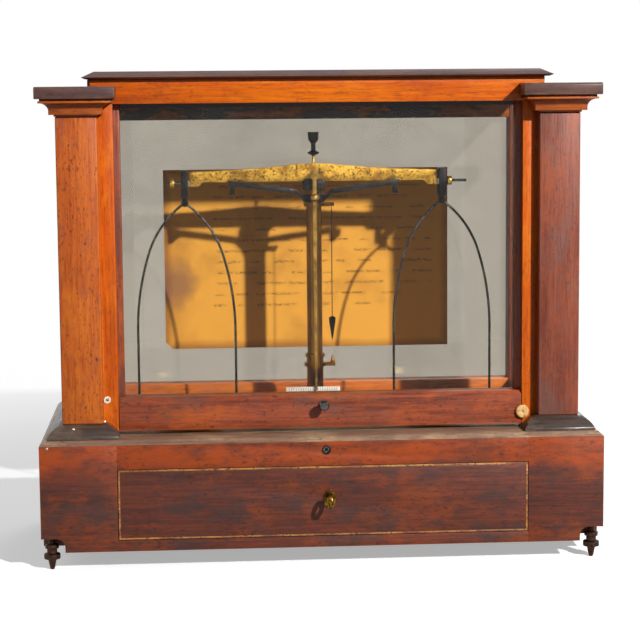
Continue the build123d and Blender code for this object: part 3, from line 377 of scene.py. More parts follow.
# Panes: old sheet glass, 2 mm, held in grooves. Slightly grey, with a film of dust that
# takes the light and long faint waves from its making.
def sheet_glass(name, tint, film, dust_colour, ior):
    """Old drawn glass: clear, faintly grey, hazed by a film of dust, waved 40 mm apart."""
    material, tree = blank_material(name)
    place = add(tree, "ShaderNodeTexCoord").outputs["Object"]
    wave = add(tree, "ShaderNodeTexNoise", {"Vector": place, "Scale": 25.0, "Detail": 1.0})
    bump = add(tree, "ShaderNodeBump", {"Height": wave.outputs["Fac"], "Strength": 0.06,
               "Distance": 0.0005})
    dust = add(tree, "ShaderNodeTexNoise", {"Vector": place, "Scale": 14.0, "Detail": 6.0,
               "Roughness": 0.7})
    settled = add(tree, "ShaderNodeMapRange", {"Value": dust.outputs["Fac"], "From Min": 0.3,
                  "From Max": 0.75, "To Min": 0.5 * film, "To Max": film})
    glass = add(tree, "ShaderNodeBsdfPrincipled", {"Base Color": linear(tint),
                "Roughness": 0.02, "IOR": ior, "Specular IOR Level": 0.15,
                "Normal": bump.outputs["Normal"], "Transmission Weight": 1.0})
    dirt = add(tree, "ShaderNodeBsdfDiffuse", {"Color": linear(dust_colour)})
    shader = add(tree, "ShaderNodeMixShader", {0: settled.outputs["Result"],
                 1: glass.outputs[0], 2: dirt.outputs[0]})
    open_way = add(tree, "ShaderNodeBsdfTransparent", {"Color": grey(0.92)})
    # thin glass doesn't bend the light that falls through it, from a lamp or off a surface
    path = add(tree, "ShaderNodeLightPath").outputs
    lighting = add(tree, "ShaderNodeMath", {0: path["Is Shadow Ray"],
                   1: path["Is Diffuse Ray"]}, operation="MAXIMUM").outputs[0]
    mixed = add(tree, "ShaderNodeMixShader", {0: lighting, 1: shader.outputs[0],
                2: open_way.outputs[0]})
    add(tree, "ShaderNodeOutputMaterial", {"Surface": mixed.outputs[0]})
    return material


def dress(node, material):
    """Gives a node that stays as packed its material."""
    for place in frame["nodes"][node].material_slots:
        place.material = material


# the wiped panes mirror less than plain glass does, as where a dark wall stands in front
clean_pane = sheet_glass("sheet_glass_drawn_wiped", "#F2F3F0", 0.012, "#9A948A", 1.18)
dusty_pane = sheet_glass("sheet_glass_drawn_dusty", "#C9C0B3", 0.22, "#948C81", 1.45)
for node in ("side_glasses", "sash_glass"):
    dress(node, clean_pane)
dress("back_glass", dusty_pane)


# Card: varnished paper on board, pasted inside the back pane, one corner torn.
# Amber, browned at its rim and in blots, with rows of faint faded marks 8 mm apart.
def varnished_card(name, amber, brown, mark, low, high):
    """Yellowed varnish on paper: even amber, foxed and browned towards its rim."""
    material, tree = blank_material(name)
    place = add(tree, "ShaderNodeTexCoord").outputs["Object"]
    axes = add(tree, "ShaderNodeSeparateXYZ", {"Vector": place})
    fox = add(tree, "ShaderNodeTexNoise", {"Vector": place, "Scale": 22.0, "Detail": 6.0,
              "Roughness": 0.65}).outputs["Fac"]
    rim = None
    for axis, start, end in (("X", low.x, high.x), ("Z", low.z, high.z)):
        middle, half = (start + end) / 2, (end - start) / 2
        away = add(tree, "ShaderNodeMath", {0: axes.outputs[axis], 1: middle},
                   operation="SUBTRACT").outputs[0]
        away = add(tree, "ShaderNodeMath", {0: away}, operation="ABSOLUTE").outputs[0]
        inset = add(tree, "ShaderNodeMath", {0: half, 1: away}, operation="SUBTRACT").outputs[0]
        if rim:
            inset = add(tree, "ShaderNodeMath", {0: rim, 1: inset}, operation="MINIMUM").outputs[0]
        rim = inset
    ragged = add(tree, "ShaderNodeMath", {0: fox, 1: -0.012, 2: rim},
                 operation="MULTIPLY_ADD").outputs[0]
    burnt = add(tree, "ShaderNodeMapRange", {"Value": ragged, "From Min": -0.006,
                "From Max": 0.001, "To Min": 0.7, "To Max": 0.0}).outputs["Result"]
    blot = add(tree, "ShaderNodeMapRange", {"Value": fox, "From Min": 0.52, "From Max": 0.8,
               "To Max": 0.5}).outputs["Result"]
    stain = add(tree, "ShaderNodeMath", {0: burnt, 1: blot}, operation="MAXIMUM").outputs[0]
    paper = add(tree, "ShaderNodeMix", {"Factor": stain, "A": linear(amber),
                "B": linear(brown)}, data_type="RGBA").outputs[2]
    # one brown smudge where a thumb held it, near its left edge
    thumb_in, thumb_up = 0.009, 0.048
    thumb = add(tree, "ShaderNodeVectorMath", {0: place, 1: (low.x + thumb_in, low.y,
                low.z + thumb_up)}, operation="DISTANCE").outputs["Value"]
    thumb = add(tree, "ShaderNodeMath", {0: fox, 1: -0.03, 2: thumb},
                operation="MULTIPLY_ADD").outputs[0]
    thumb = add(tree, "ShaderNodeMapRange", {"Value": thumb, "From Min": -0.011,
                "From Max": 0.002, "To Min": 0.7, "To Max": 0.0}).outputs["Result"]
    paper = add(tree, "ShaderNodeMix", {"Factor": thumb, "A": paper, "B": linear("#8A5A4C")},
                data_type="RGBA").outputs[2]
    # rows of marks on its front, 8 mm apart, broken as small strokes and gaps
    row_gap, mark_high = 0.008, 0.0019
    left_margin, right_margin, foot_margin, head_margin = 0.036, 0.012, 0.029, 0.012
    row = add(tree, "ShaderNodeMath", {0: axes.outputs["Z"], 1: row_gap},
              operation="FLOORED_MODULO").outputs[0]
    in_row = add(tree, "ShaderNodeMath", {0: row, 1: mark_high},
                 operation="LESS_THAN").outputs[0]
    for axis, edge, side in (("X", low.x + left_margin, "GREATER_THAN"),
                             ("X", high.x - right_margin, "LESS_THAN"),
                             ("Z", low.z + foot_margin, "GREATER_THAN"),
                             ("Z", high.z - head_margin, "LESS_THAN")):
        within = add(tree, "ShaderNodeMath", {0: axes.outputs[axis], 1: edge},
                     operation=side).outputs[0]
        in_row = add(tree, "ShaderNodeMath", {0: in_row, 1: within},
                     operation="MULTIPLY").outputs[0]
    facing = add(tree, "ShaderNodeSeparateXYZ",
                 {"Vector": add(tree, "ShaderNodeTexCoord").outputs["Normal"]}).outputs["Y"]
    in_front = add(tree, "ShaderNodeMath", {0: facing, 1: -0.5}, operation="LESS_THAN").outputs[0]
    in_row = add(tree, "ShaderNodeMath", {0: in_row, 1: in_front},
                 operation="MULTIPLY").outputs[0]
    strokes = add(tree, "ShaderNodeMapping", {"Vector": place, "Scale": (900, 1, 700)})
    broken = add(tree, "ShaderNodeTexNoise", {"Vector": strokes.outputs[0], "Scale": 1.0,
                 "Detail": 1.0}).outputs["Fac"]
    stroke = add(tree, "ShaderNodeMapRange", {"Value": broken, "From Min": 0.46,
                 "From Max": 0.56}).outputs["Result"]
    spans = add(tree, "ShaderNodeMapping", {"Vector": place, "Scale": (75, 1, 125)})
    gaps = add(tree, "ShaderNodeTexNoise", {"Vector": spans.outputs[0], "Scale": 1.0,
               "Detail": 0.0}).outputs["Fac"]
    span = add(tree, "ShaderNodeMath", {0: gaps, 1: 0.47}, operation="GREATER_THAN").outputs[0]
    faint = in_row
    for share in (stroke, span, 0.6):
        faint = add(tree, "ShaderNodeMath", {0: faint, 1: share}, operation="MULTIPLY").outputs[0]
    paper = add(tree, "ShaderNodeMix", {"Factor": faint, "A": paper, "B": linear(mark)},
                data_type="RGBA").outputs[2]
    bump = add(tree, "ShaderNodeBump", {"Height": fox, "Strength": 0.2, "Distance": 0.0006})
    shader = add(tree, "ShaderNodeBsdfPrincipled", {"Base Color": paper, "Roughness": 0.5,
                 "Normal": bump.outputs["Normal"], "Specular IOR Level": 0.15})
    add(tree, "ShaderNodeOutputMaterial", {"Surface": shader.outputs[0]})
    return material


dress("instruction_card", varnished_card("card_varnished_yellowed", "#FFB444", "#8A4A1A",
      "#3A2010", *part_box("instruction_card")))

# Sash: stiles and top rail behind the strips, and a proud bottom rail with a planed bevel.
# Tenoned and glued; the bottom rail is dark red, darker at its ends, rubbed on its bevel.
sash_wood = polished_mahogany(
    "mahogany_french_polished_dark_red", "#5A2418", "#8C4228", "#A8502C", "#B85A24", "#5E4038",
    0.5, 0.55, 0.28, 0.6, 0.4)
finished("sash_bottom_rail", sash_wood, 0.0005)
# The sash's top rail is painted near black: painted shade, where it stands in the frieze's shadow.
painted_shade_wood = polished_mahogany(
    "mahogany_painted_shade_under_frieze", "#120C0B", "#1E1514", "#2A1C1A", "#3E2C26", "#171110", 0.2,
    0.5, 0.4, 0.3, 0.2)
finished("sash_frame", sash_wood, 0.0005, rails=painted_shade_wood)


# Knob of the sash: ebony, turned and polished, its pin glued into the rail.
# Near black with fine grain lines that only show in the shine.
def plain_polish(name, dark, light, streaks, gloss, coat, spot="#100C0A", spotting=0.0):
    """A dense close-grained stuff, polished: fine streaks, small pits, an even shine."""
    material, tree = blank_material(name)
    place = add(tree, "ShaderNodeTexCoord").outputs["Object"]
    lines = add(tree, "ShaderNodeMapping", {"Vector": place, "Scale": streaks})
    grain = add(tree, "ShaderNodeTexNoise", {"Vector": lines.outputs[0], "Scale": 1.0,
                "Detail": 4.0, "Roughness": 0.6}).outputs["Fac"]
    colour = add(tree, "ShaderNodeValToRGB", {"Fac": grain},
                 [(0.35, linear(dark)), (0.65, linear(light))]).outputs["Color"]
    pit = add(tree, "ShaderNodeTexNoise", {"Vector": place, "Scale": 700.0, "Detail": 2.0})
    dirt = add(tree, "ShaderNodeMapRange", {"Value": pit.outputs["Fac"], "From Min": 0.56,
               "From Max": 0.66, "To Max": spotting}).outputs["Result"]
    colour = add(tree, "ShaderNodeMix", {"Factor": dirt, "A": colour, "B": linear(spot)},
                 data_type="RGBA").outputs[2]
    rough = add(tree, "ShaderNodeMapRange", {"Value": grain, "To Min": gloss,
                "To Max": gloss + 0.2}).outputs["Result"]
    bump = add(tree, "ShaderNodeBump", {"Height": grain, "Strength": 0.15, "Distance": 0.0002})
    shader = add(tree, "ShaderNodeBsdfPrincipled", {"Base Color": colour, "Roughness": rough,
                 "Normal": bump.outputs["Normal"], "Coat Weight": coat, "Coat Roughness": 0.12})
    add(tree, "ShaderNodeOutputMaterial", {"Surface": shader.outputs[0]})
    return material


ebony = plain_polish("ebony_turned_polished", "#0A0706", "#1A1210", (900, 120, 900), 0.12, 0.9)
dress("sash_knob", ebony)

# Ring and button on the strips: a turned bone ring let into the left strip, and a boxwood
# button screwed to the right one that keeps the sash down.
bone = plain_polish("bone_turned_polished", "#D8CDB4", "#F2ECDD", (500, 500, 500), 0.3, 0.1,
                    "#8C7450", 0.5)
dress("strip_ring", bone)
boxwood = plain_polish("boxwood_turned_polished", "#C08A4A", "#E2B878", (500, 500, 60), 0.35,
                       0.1, "#6B4420", 0.6)
finished("sash_button", boxwood, 0.0003)

# Drawer front: mahogany like the base, with a thin pale bead let in round its edge.
# The box behind it is pine, dovetailed, sliding on the guides.
drawer_wood = polished_mahogany(
    "mahogany_drawer_front_polished", "#381D17", "#5A2B1E", "#743620", "#8E4018", "#3A2A28",
    0.45, 0.75, 0.3, 0.6, 0.3)
finished("drawer_front", drawer_wood, 0.0004)
bead_wood = plain_polish("boxwood_stringing_browned", "#6E3A1A", "#C0823E", (60, 260, 260), 0.4,
                         0.1, "#3A1E10", 1.0)
finished("drawer_bead", bead_wood, 0.0001)
for node in ("drawer_walls", "drawer_bottom"):
    finished(node, pine, 0.0004)


# Pillar: drawn brass tube, turned rings and a turned flange, lacquered long ago.
# Golden where the lacquer holds, brown and black-spotted where it has gone, and painted
# darker overall: painted shade for the dark case that it mirrors.
def old_metal(name, bright, dull, spot, smooth, rough, spotting, patch=70.0, draw=(1, 1, 1)):
    """Bare or lacquered metal, turned or drawn: clean and tarnished patches, small dark
    spots, rougher where it is tarnished. draw stretches the patches along the tool's way."""
    material, tree = blank_material(name)
    place = add(tree, "ShaderNodeTexCoord").outputs["Object"]
    along = add(tree, "ShaderNodeMapping", {"Vector": place, "Scale": draw}).outputs[0]
    patches = add(tree, "ShaderNodeTexNoise", {"Vector": along, "Scale": patch, "Detail": 5.0,
                  "Roughness": 0.65}).outputs["Fac"]
    colour = add(tree, "ShaderNodeValToRGB", {"Fac": patches},
                 [(0.4, linear(bright)), (0.62, linear(dull))]).outputs["Color"]
    pits = add(tree, "ShaderNodeTexNoise", {"Vector": place, "Scale": 620.0, "Detail": 3.0,
               "Roughness": 0.6}).outputs["Fac"]
    dark = add(tree, "ShaderNodeMapRange", {"Value": pits, "From Min": 0.54, "From Max": 0.64,
               "To Max": spotting}).outputs["Result"]
    colour = add(tree, "ShaderNodeMix", {"Factor": dark, "A": colour, "B": linear(spot)},
                 data_type="RGBA").outputs[2]
    sheen = add(tree, "ShaderNodeMapRange", {"Value": patches, "From Min": 0.35,
                "From Max": 0.7, "To Min": smooth, "To Max": rough}).outputs["Result"]
    bump = add(tree, "ShaderNodeBump", {"Height": pits, "Strength": 0.2, "Distance": 0.0002})
    shader = add(tree, "ShaderNodeBsdfPrincipled", {"Base Color": colour, "Metallic": 1.0,
                 "Roughness": sheen, "Normal": bump.outputs["Normal"]})
    add(tree, "ShaderNodeOutputMaterial", {"Surface": shader.outputs[0]})
    return material


# darker than the other brass: painted shade for the dark case it mirrors; the patches and spots
# are tarnish
pillar_brass = old_metal("brass_drawn_lacquered_painted_dark", "#8E5E20", "#3E2A10", "#1A1008", 0.14, 0.3,
                         0.6, patch=60.0, draw=(1, 1, 0.2))
for node in ("pillar", "pillar_base"):
    dress(node, pillar_brass)

# Pillar head: steel block with two cheeks, filed and blackened, screwed into the pillar.
black_steel = old_metal("steel_filed_blackened", "#343130", "#181615", "#0A0808", 0.3, 0.5,
                        0.5)
finished("pillar_head", black_steel, 0.0005)

# Beam: cast brass, filed flat, its lacquer gone. Mottled yellow with black spots.
# A brass stem for the gravity bob is screwed into its top.
beam_brass = old_metal("brass_cast_filed_tarnished", "#C99A3C", "#7A5520", "#1A1006", 0.35,
                       0.55, 1.0, patch=150.0)
finished("beam", beam_brass, 0.0003)

# Knives and end blocks: steel prisms let into the beam, with a fine screw at each end.
steel = old_metal("steel_ground_aged", "#8E8B86", "#55514D", "#221E1B", 0.25, 0.5, 0.6)
finished("knife_edges", steel, 0.00015)


# Adjusting nuts, gravity bob and levelling screws: turned steel and iron with milled rims,
# the teeth cut by a wheel; the screws have a cut thread. All turn by hand.
def new_tree(name, sockets):
    """A Geometry Nodes tree with named inputs and one geometry output."""
    tree = bpy.data.node_groups.new(name, "GeometryNodeTree")
    for label, kind in sockets.items():
        tree.interface.new_socket(label, in_out="INPUT", socket_type=kind)
    tree.interface.new_socket("Geometry", in_out="OUTPUT", socket_type="NodeSocketGeometry")
    return tree, tree.nodes.new("NodeGroupInput").outputs


def end_tree(tree, shape, given):
    """Turns and places a shape, makes its instances real and gives it its material."""
    placed = add(tree, "GeometryNodeTransform", {"Geometry": shape,
                 "Translation": given["Centre"], "Rotation": given["Tilt"]})
    real = add(tree, "GeometryNodeRealizeInstances", {"Geometry": placed.outputs[0]})
    coloured = add(tree, "GeometryNodeSetMaterial", {"Geometry": real.outputs[0],
                   "Material": given["Material"]})
    add(tree, "NodeGroupOutput", {"Geometry": coloured.outputs[0]})
    return tree


def milled_rim_tree():
    tree, given = new_tree("milled_rim", {"Teeth": "NodeSocketInt", "Radius": "NodeSocketFloat",
                           "Tooth": "NodeSocketFloat", "Height": "NodeSocketFloat",
                           "Centre": "NodeSocketVector", "Tilt": "NodeSocketRotation",
                           "Material": "NodeSocketMaterial"})
    ring = add(tree, "GeometryNodeMeshCircle", {"Vertices": given["Teeth"],
               "Radius": given["Radius"]})
    size = add(tree, "ShaderNodeCombineXYZ", {"X": given["Tooth"], "Y": given["Tooth"],
               "Z": given["Height"]})
    tooth = add(tree, "GeometryNodeMeshCube", {"Size": size.outputs[0]})
    spot = add(tree, "ShaderNodeSeparateXYZ",
               {"Vector": add(tree, "GeometryNodeInputPosition").outputs[0]})
    angle = add(tree, "ShaderNodeMath", {0: spot.outputs["Y"], 1: spot.outputs["X"]},
                operation="ARCTAN2")
    # half a right angle more turns each bar's corner outwards as a tooth
    turned = add(tree, "ShaderNodeMath", {0: angle.outputs[0], 1: pi / 4}, operation="ADD")
    facing = add(tree, "ShaderNodeCombineXYZ", {"Z": turned.outputs[0]})
    teeth = add(tree, "GeometryNodeInstanceOnPoints", {"Points": ring.outputs[0],
                "Instance": tooth.outputs[0], "Rotation": facing.outputs[0]})
    return end_tree(tree, teeth.outputs[0], given)


def screw_thread_tree():
    tree, given = new_tree("screw_thread", {"Turns": "NodeSocketFloat",
                           "Radius": "NodeSocketFloat", "Length": "NodeSocketFloat",
                           "Ridge": "NodeSocketFloat", "Centre": "NodeSocketVector",
                           "Tilt": "NodeSocketRotation", "Material": "NodeSocketMaterial"})
    helix = add(tree, "GeometryNodeCurveSpiral", {"Resolution": 20, "Rotations": given["Turns"],
                "Start Radius": given["Radius"], "End Radius": given["Radius"],
                "Height": given["Length"]})
    ridge = add(tree, "GeometryNodeCurvePrimitiveCircle", {"Resolution": 4,
                "Radius": given["Ridge"]})
    thread = add(tree, "GeometryNodeCurveToMesh", {"Curve": helix.outputs[0],
                 "Profile Curve": ridge.outputs[0], "Fill Caps": True})
    return end_tree(tree, thread.outputs[0], given)


def grown(name, tree, body, slot, **values):
    """Runs a tree once and keeps what it makes as a plain piece on a body."""
    piece = bpy.data.objects.new(name, bpy.data.meshes.new(name))
    bpy.context.scene.collection.objects.link(piece)
    grower = piece.modifiers.new("grower", "NODES")
    grower.node_group = tree
    for socket in tree.interface.items_tree:
        if socket.name in values:
            grower[socket.identifier] = values[socket.name]
    graph = bpy.context.evaluated_depsgraph_get()
    made = bpy.data.meshes.new_from_object(piece.evaluated_get(graph), depsgraph=graph)
    piece.modifiers.remove(grower)
    piece.data = made
    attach(piece, body)
    return piece


milled_rim = milled_rim_tree()
screw_thread = screw_thread_tree()
# the bars' middles lie inside each rim, so that their corners stand 0.05 mm proud of it
tooth, tooth_in = 0.0005, 0.0003
nut_brass = old_metal("brass_turned_yellow", "#D9B45C", "#9A7430", "#2E2010", 0.25, 0.45, 0.3)
for side, node in (("left", "adjusting_nut_left"), ("right", "adjusting_nut_right")):
    low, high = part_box(node)
    finished(node, nut_brass, 0.0002)
    radius = (high.z - low.z) / 2
    milled_share = 0.72
    grown(f"nut_{side}_milling", milled_rim, f"nut_{side}", "brass", Teeth=30,
          Radius=radius - tooth_in, Tooth=tooth, Height=(high.x - low.x) * milled_share,
          Centre=(low + high) / 2, Tilt=(0, radians(90), 0), Material=nut_brass)

low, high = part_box("gravity_bob")
dress("gravity_bob", black_steel)
disc_radius, disc_middle, disc_thick = (high.x - low.x) / 2, low.z + 0.0016, 0.0009
grown("gravity_bob_milling", milled_rim, "gravity_bob", "steel", Teeth=36,
      Radius=disc_radius - tooth_in, Tooth=tooth, Height=disc_thick,
      Centre=((low.x + high.x) / 2, (low.y + high.y) / 2, disc_middle), Tilt=(0, 0, 0),
      Material=black_steel)

# Levelling screws, their bushes and the rear foot: iron and brass, rusted and oiled.
rusty_iron = old_metal("iron_turned_rusted", "#3A302A", "#4A2A18", "#120C0A", 0.42, 0.7, 0.8,
                       patch=220.0)
bush_brass = old_metal("brass_turned_tarnished", "#A98342", "#5F4622", "#1E140A", 0.35, 0.6,
                       0.7)
dress("foot_bushes", bush_brass)
finished("rear_foot", rusty_iron, 0.0004)
screw_tooth, screw_tooth_in, screw_disc_middle, screw_disc_thick = 0.0007, 0.0004, 0.009, 0.0026
thread_radius, thread_low, thread_length, thread_ridge = 0.00185, 0.0182, 0.0040, 0.0004
for side in ("left", "right"):
    node = f"levelling_screw_{side}"
    low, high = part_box(node)
    middle = (low + high) / 2
    finished(node, rusty_iron, 0.0003)
    grown(f"{node}_milling", milled_rim, f"screw_{side}", "iron", Teeth=32,
          Radius=(high.x - low.x) / 2 - screw_tooth_in, Tooth=screw_tooth,
          Height=screw_disc_thick, Centre=(middle.x, middle.y, screw_disc_middle),
          Tilt=(0, 0, 0), Material=rusty_iron)
    grown(f"{node}_thread", screw_thread, f"screw_{side}", "iron", Turns=4.0,
          Radius=thread_radius, Length=thread_length, Ridge=thread_ridge,
          Centre=(middle.x, middle.y, thread_low), Tilt=(0, 0, 0), Material=rusty_iron)

# Pointer: a flat brass needle on the beam's middle, with a ball near its top.
dress("pointer", old_metal("brass_needle_tarnished", "#B98F45", "#5E4724", "#1B130A", 0.3,
      0.55, 0.6))

# Scale behind the pointer: an ivory tablet with fine black divisions cut in its face.
ivory = plain_polish("ivory_sawn_polished", "#E9E2CF", "#FAF6EA", (120, 120, 500), 0.3, 0.1,
                     "#A08C66", 0.25)
finished("ivory_scale", ivory, 0.0003)


def cut_lines_tree():
    tree, given = new_tree("cut_lines", {"Lines": "NodeSocketInt", "Gap": "NodeSocketVector",
                           "Size": "NodeSocketVector", "Centre": "NodeSocketVector",
                           "Tilt": "NodeSocketRotation", "Material": "NodeSocketMaterial"})
    row = add(tree, "GeometryNodeMeshLine", {"Count": given["Lines"], "Offset": given["Gap"]},
              mode="OFFSET")
    line = add(tree, "GeometryNodeMeshCube", {"Size": given["Size"]})
    lines = add(tree, "GeometryNodeInstanceOnPoints", {"Points": row.outputs[0],
                "Instance": line.outputs[0]})
    return end_tree(tree, lines.outputs[0], given)


black_wax = plain_polish("black_wax_in_cuts", "#100E0C", "#241F1A", (300, 300, 300), 0.5, 0.0)
low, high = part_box("ivory_scale")
divisions, division_gap, division_high, under_edge = 21, 0.0017, 0.0045, 0.0004
first = (low.x + high.x - (divisions - 1) * division_gap) / 2
# the wax stands 0.05 mm proud and is drawn 0.3 mm wide so that it shows
grown("scale_divisions", cut_lines_tree(), "case", "ebony", Lines=divisions,
      Gap=(division_gap, 0, 0), Size=(0.0003, 0.0001, division_high),
      Centre=(first, low.y, high.z - division_high / 2 - under_edge), Tilt=(0, 0, 0),
      Material=black_wax)

# Stirrups, bows and pans: bent steel links, drawn steel wire and spun brass dishes.
# The wire is blued and bright where it is rubbed; the pans are dull yellow.
wire_steel = old_metal("steel_wire_drawn", "#5C5750", "#292522", "#120F0D", 0.22, 0.45, 0.5,
                       patch=120.0)
pan_brass = old_metal("brass_spun_lacquered", "#C9A04E", "#86683A", "#2E2112", 0.3, 0.5, 0.5)
for side in ("left", "right"):
    finished(f"stirrup_{side}", black_steel, 0.0003)
    dress(f"bow_{side}", wire_steel)
    dress(f"pan_{side}", pan_brass)

# Arrestment: a steel collar on the pillar with two arms and pads under the beam, raised by
# a rod in the pillar that a cam on a spindle lifts; a brass collar guards the keyhole.
finished("arrestment_arms", black_steel, 0.0003)
for node in ("arrestment_rod", "arrestment_spindle"):
    dress(node, steel)
finished("spindle_bush", black_steel, 0.0002)

# Plumb line: brass brackets on the pillar with a fixed point, and a turned iron bob,
# blackened, on a silk thread.
dress("plumb_brackets", pillar_brass)
dress("plumb_bob", black_steel)

# Lock, escutcheon and key of the drawer: steel lock let in behind, brass outside.
key_brass = old_metal("brass_cast_key_worn", "#7A5824", "#2E200E", "#120B05", 0.32, 0.55, 0.9,
                      patch=160.0)
dress("drawer_lock", steel)
finished("escutcheon", key_brass, 0.00015)
finished("drawer_key", key_brass, 0.0003)


# Pins: small steel pins with bright worn heads, one by one where the joints were mended at
# the left front, and two at each end of the back rails, which they hold to the posts.
def pin_heads_tree():
    tree, given = new_tree("pin_heads", {"Pins": "NodeSocketInt", "Gap": "NodeSocketVector",
                           "Radius": "NodeSocketFloat", "Centre": "NodeSocketVector",
                           "Tilt": "NodeSocketRotation", "Material": "NodeSocketMaterial"})
    row = add(tree, "GeometryNodeMeshLine", {"Count": given["Pins"], "Offset": given["Gap"]},
              mode="OFFSET")
    head = add(tree, "GeometryNodeMeshUVSphere", {"Segments": 12, "Rings": 8,
               "Radius": given["Radius"]})
    heads = add(tree, "GeometryNodeInstanceOnPoints", {"Points": row.outputs[0],
                "Instance": head.outputs[0], "Scale": (1, 1, 0.45)})
    return end_tree(tree, heads.outputs[0], given)


pin_steel = old_metal("steel_pin_head_bright", "#E4DCCB", "#A09684", "#40382C", 0.3, 0.5, 0.3)
pin_heads = pin_heads_tree()
facing_front, facing_up_front = (radians(90), 0, 0), (radians(36), 0, 0)
facing_back = (radians(-90), 0, 0)
for name, place, tilt in (("corner", (-0.1845, -0.0774, 0.0839), facing_front),
                          ("moulding", (-0.1672, -0.0677, 0.0952), facing_up_front),
                          ("strip", (-0.1465, -0.0634, 0.0990), facing_front)):
    grown(f"{name}_pin", pin_heads, "case", "steel", Pins=1, Gap=(0.001, 0, 0), Radius=0.0009,
          Centre=place, Tilt=tilt, Material=pin_steel)
low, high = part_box("back_rails")
pin_in, pin_gap, head_proud = 0.006, 0.012, 0.0001
low_rail_middle, top_rail_middle = low.z + 0.0078, high.z - 0.0146
for height, name in ((low_rail_middle, "bottom"), (top_rail_middle, "top")):
    for first, side in ((low.x + pin_in, "right"), (high.x - pin_in - pin_gap, "left")):
        grown(f"back_pins_{name}_{side}", pin_heads, "case", "steel", Pins=2,
              Gap=(pin_gap, 0, 0), Radius=0.0008, Centre=(first, high.y + head_proud, height),
              Tilt=facing_back, Material=pin_steel)

# Table top and studio: a pale matt floor, one lamp on the right in front, a broad dim one
# on the left, two more that light the left side and the back, and an even white room.
floor_mesh = bpy.data.meshes.new("table_top")
reach = 12.0
floor_mesh.from_pydata([(-reach, -reach, 0), (reach, -reach, 0), (reach, reach, 0),
                        (-reach, reach, 0)], [], [(0, 1, 2, 3)])
floor = bpy.data.objects.new("table_top", floor_mesh)
bpy.context.scene.collection.objects.link(floor)


def looked_at(tree):
    """Two tests of a ray: that it looks from the camera, also by way of gloss or glass, and
    that it has met no dull surface yet. Light that a dull surface gathers isn't a look."""
    path = add(tree, "ShaderNodeLightPath").outputs
    seen = add(tree, "ShaderNodeMath", {0: path["Is Camera Ray"], 1: path["Is Glossy Ray"]},
               operation="MAXIMUM").outputs[0]
    seen = add(tree, "ShaderNodeMath", {0: seen, 1: path["Is Transmission Ray"]},
               operation="MAXIMUM").outputs[0]
    straight = add(tree, "ShaderNodeMath", {0: path["Diffuse Depth"], 1: 0.5},
                   operation="LESS_THAN").outputs[0]
    seen = add(tree, "ShaderNodeMath", {0: seen, 1: straight}, operation="MULTIPLY").outputs[0]
    return seen, straight


paper, tree = blank_material("matt_paper_floor")
seen, straight = looked_at(tree)
# the floor throws less light up at the object than it shows, as a darker table would
pale = add(tree, "ShaderNodeMix", {"Factor": straight, "A": grey(0.12), "B": grey(0.82)},
           data_type="RGBA").outputs[2]
matt = add(tree, "ShaderNodeBsdfDiffuse", {"Color": pale})
lift = add(tree, "ShaderNodeMath", {0: seen, 1: 0.4}, operation="MULTIPLY")
glow = add(tree, "ShaderNodeEmission", {"Color": grey(1), "Strength": lift.outputs[0]})
near = add(tree, "ShaderNodeAddShader", {0: matt.outputs[0], 1: glow.outputs[0]})
# away from the object the floor runs out into the white room
white = add(tree, "ShaderNodeEmission", {"Color": grey(1), "Strength": 1.0})
out_there = add(tree, "ShaderNodeVectorMath", {0:
                add(tree, "ShaderNodeTexCoord").outputs["Object"]}, operation="LENGTH")
fade = add(tree, "ShaderNodeMapRange", {"Value": out_there.outputs["Value"], "From Min": 0.35,
           "From Max": 1.1}, interpolation_type="SMOOTHSTEP").outputs["Result"]
fade = add(tree, "ShaderNodeMath", {0: fade, 1: seen}, operation="MULTIPLY").outputs[0]
both = add(tree, "ShaderNodeMixShader", {0: fade, 1: near.outputs[0], 2: white.outputs[0]})
add(tree, "ShaderNodeOutputMaterial", {"Surface": both.outputs[0]})
floor_mesh.materials.append(paper)

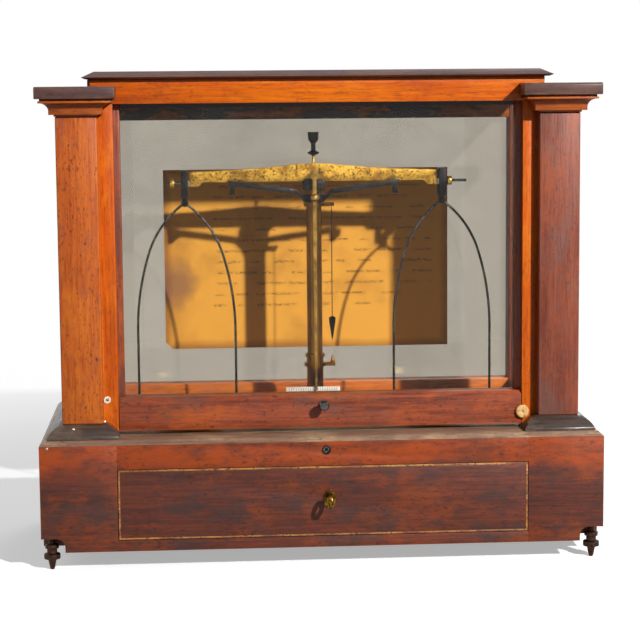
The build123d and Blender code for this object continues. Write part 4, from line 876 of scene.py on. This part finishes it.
room = bpy.data.worlds.new("white_room")
bpy.context.scene.world = room
room.use_nodes = True
tree = room.node_tree
tree.nodes.clear()
seen, straight = looked_at(tree)
dim, full = 0.12, 1.0
level = add(tree, "ShaderNodeMapRange", {"Value": seen, "To Min": dim, "To Max": full})
sky = add(tree, "ShaderNodeBackground", {"Color": grey(1), "Strength": level.outputs["Result"]})
add(tree, "ShaderNodeOutputWorld", {"Surface": sky.outputs[0]})

target = Vector((0, 0, 0.18))
for name, towards, distance, size, power in (
    ("key_lamp", (0.66, -1.0, 0.64), 2.4, 0.08, 78.0),
    ("fill_lamp", (-0.9, -1.0, 0.7), 2.4, 1.6, 2.0),
    ("left_lamp", (-1.0, 0.15, 0.5), 2.4, 1.2, 8.0),
    ("back_lamp", (0.4, 1.0, 0.6), 2.4, 1.2, 14.0),
):
    lamp = bpy.data.lights.new(name, "AREA")
    lamp.shape = "DISK"
    lamp.size = size
    lamp.energy = power
    holder = bpy.data.objects.new(name, lamp)
    bpy.context.scene.collection.objects.link(holder)
    direction = Vector(towards).normalized()
    holder.matrix_world = (Matrix.Translation(target + distance * direction)
                           @ direction.to_track_quat("Z", "Y").to_matrix().to_4x4())

# Camera: in front and a little to the left, looking slightly down and to the right.
turned_right, tipped_down, rolled = radians(3.689), radians(6.994), radians(0.49)
forward = Vector((sin(turned_right) * cos(tipped_down), cos(turned_right) * cos(tipped_down),
                  -sin(tipped_down)))
level_right = Vector((cos(turned_right), -sin(turned_right), 0))
level_up = level_right.cross(forward)
right = cos(rolled) * level_right - sin(rolled) * level_up
up = sin(rolled) * level_right + cos(rolled) * level_up
camera = bpy.data.objects.new("camera", bpy.data.cameras.new("camera"))
bpy.context.scene.collection.objects.link(camera)
sensor_width, image_width, focal_in_pixels = 36.0, 640, 1889.9
camera.data.sensor_width = sensor_width
camera.data.lens = sensor_width * focal_in_pixels / image_width
camera_place = (-0.0823, -1.3222, 0.3202)
turn = Matrix((right, up, -forward)).transposed()
camera.matrix_world = Matrix.Translation(camera_place) @ turn.to_4x4()
bpy.context.scene.camera = camera
bpy.context.scene.view_settings.view_transform = "Standard"

bpy.context.view_layer.update()
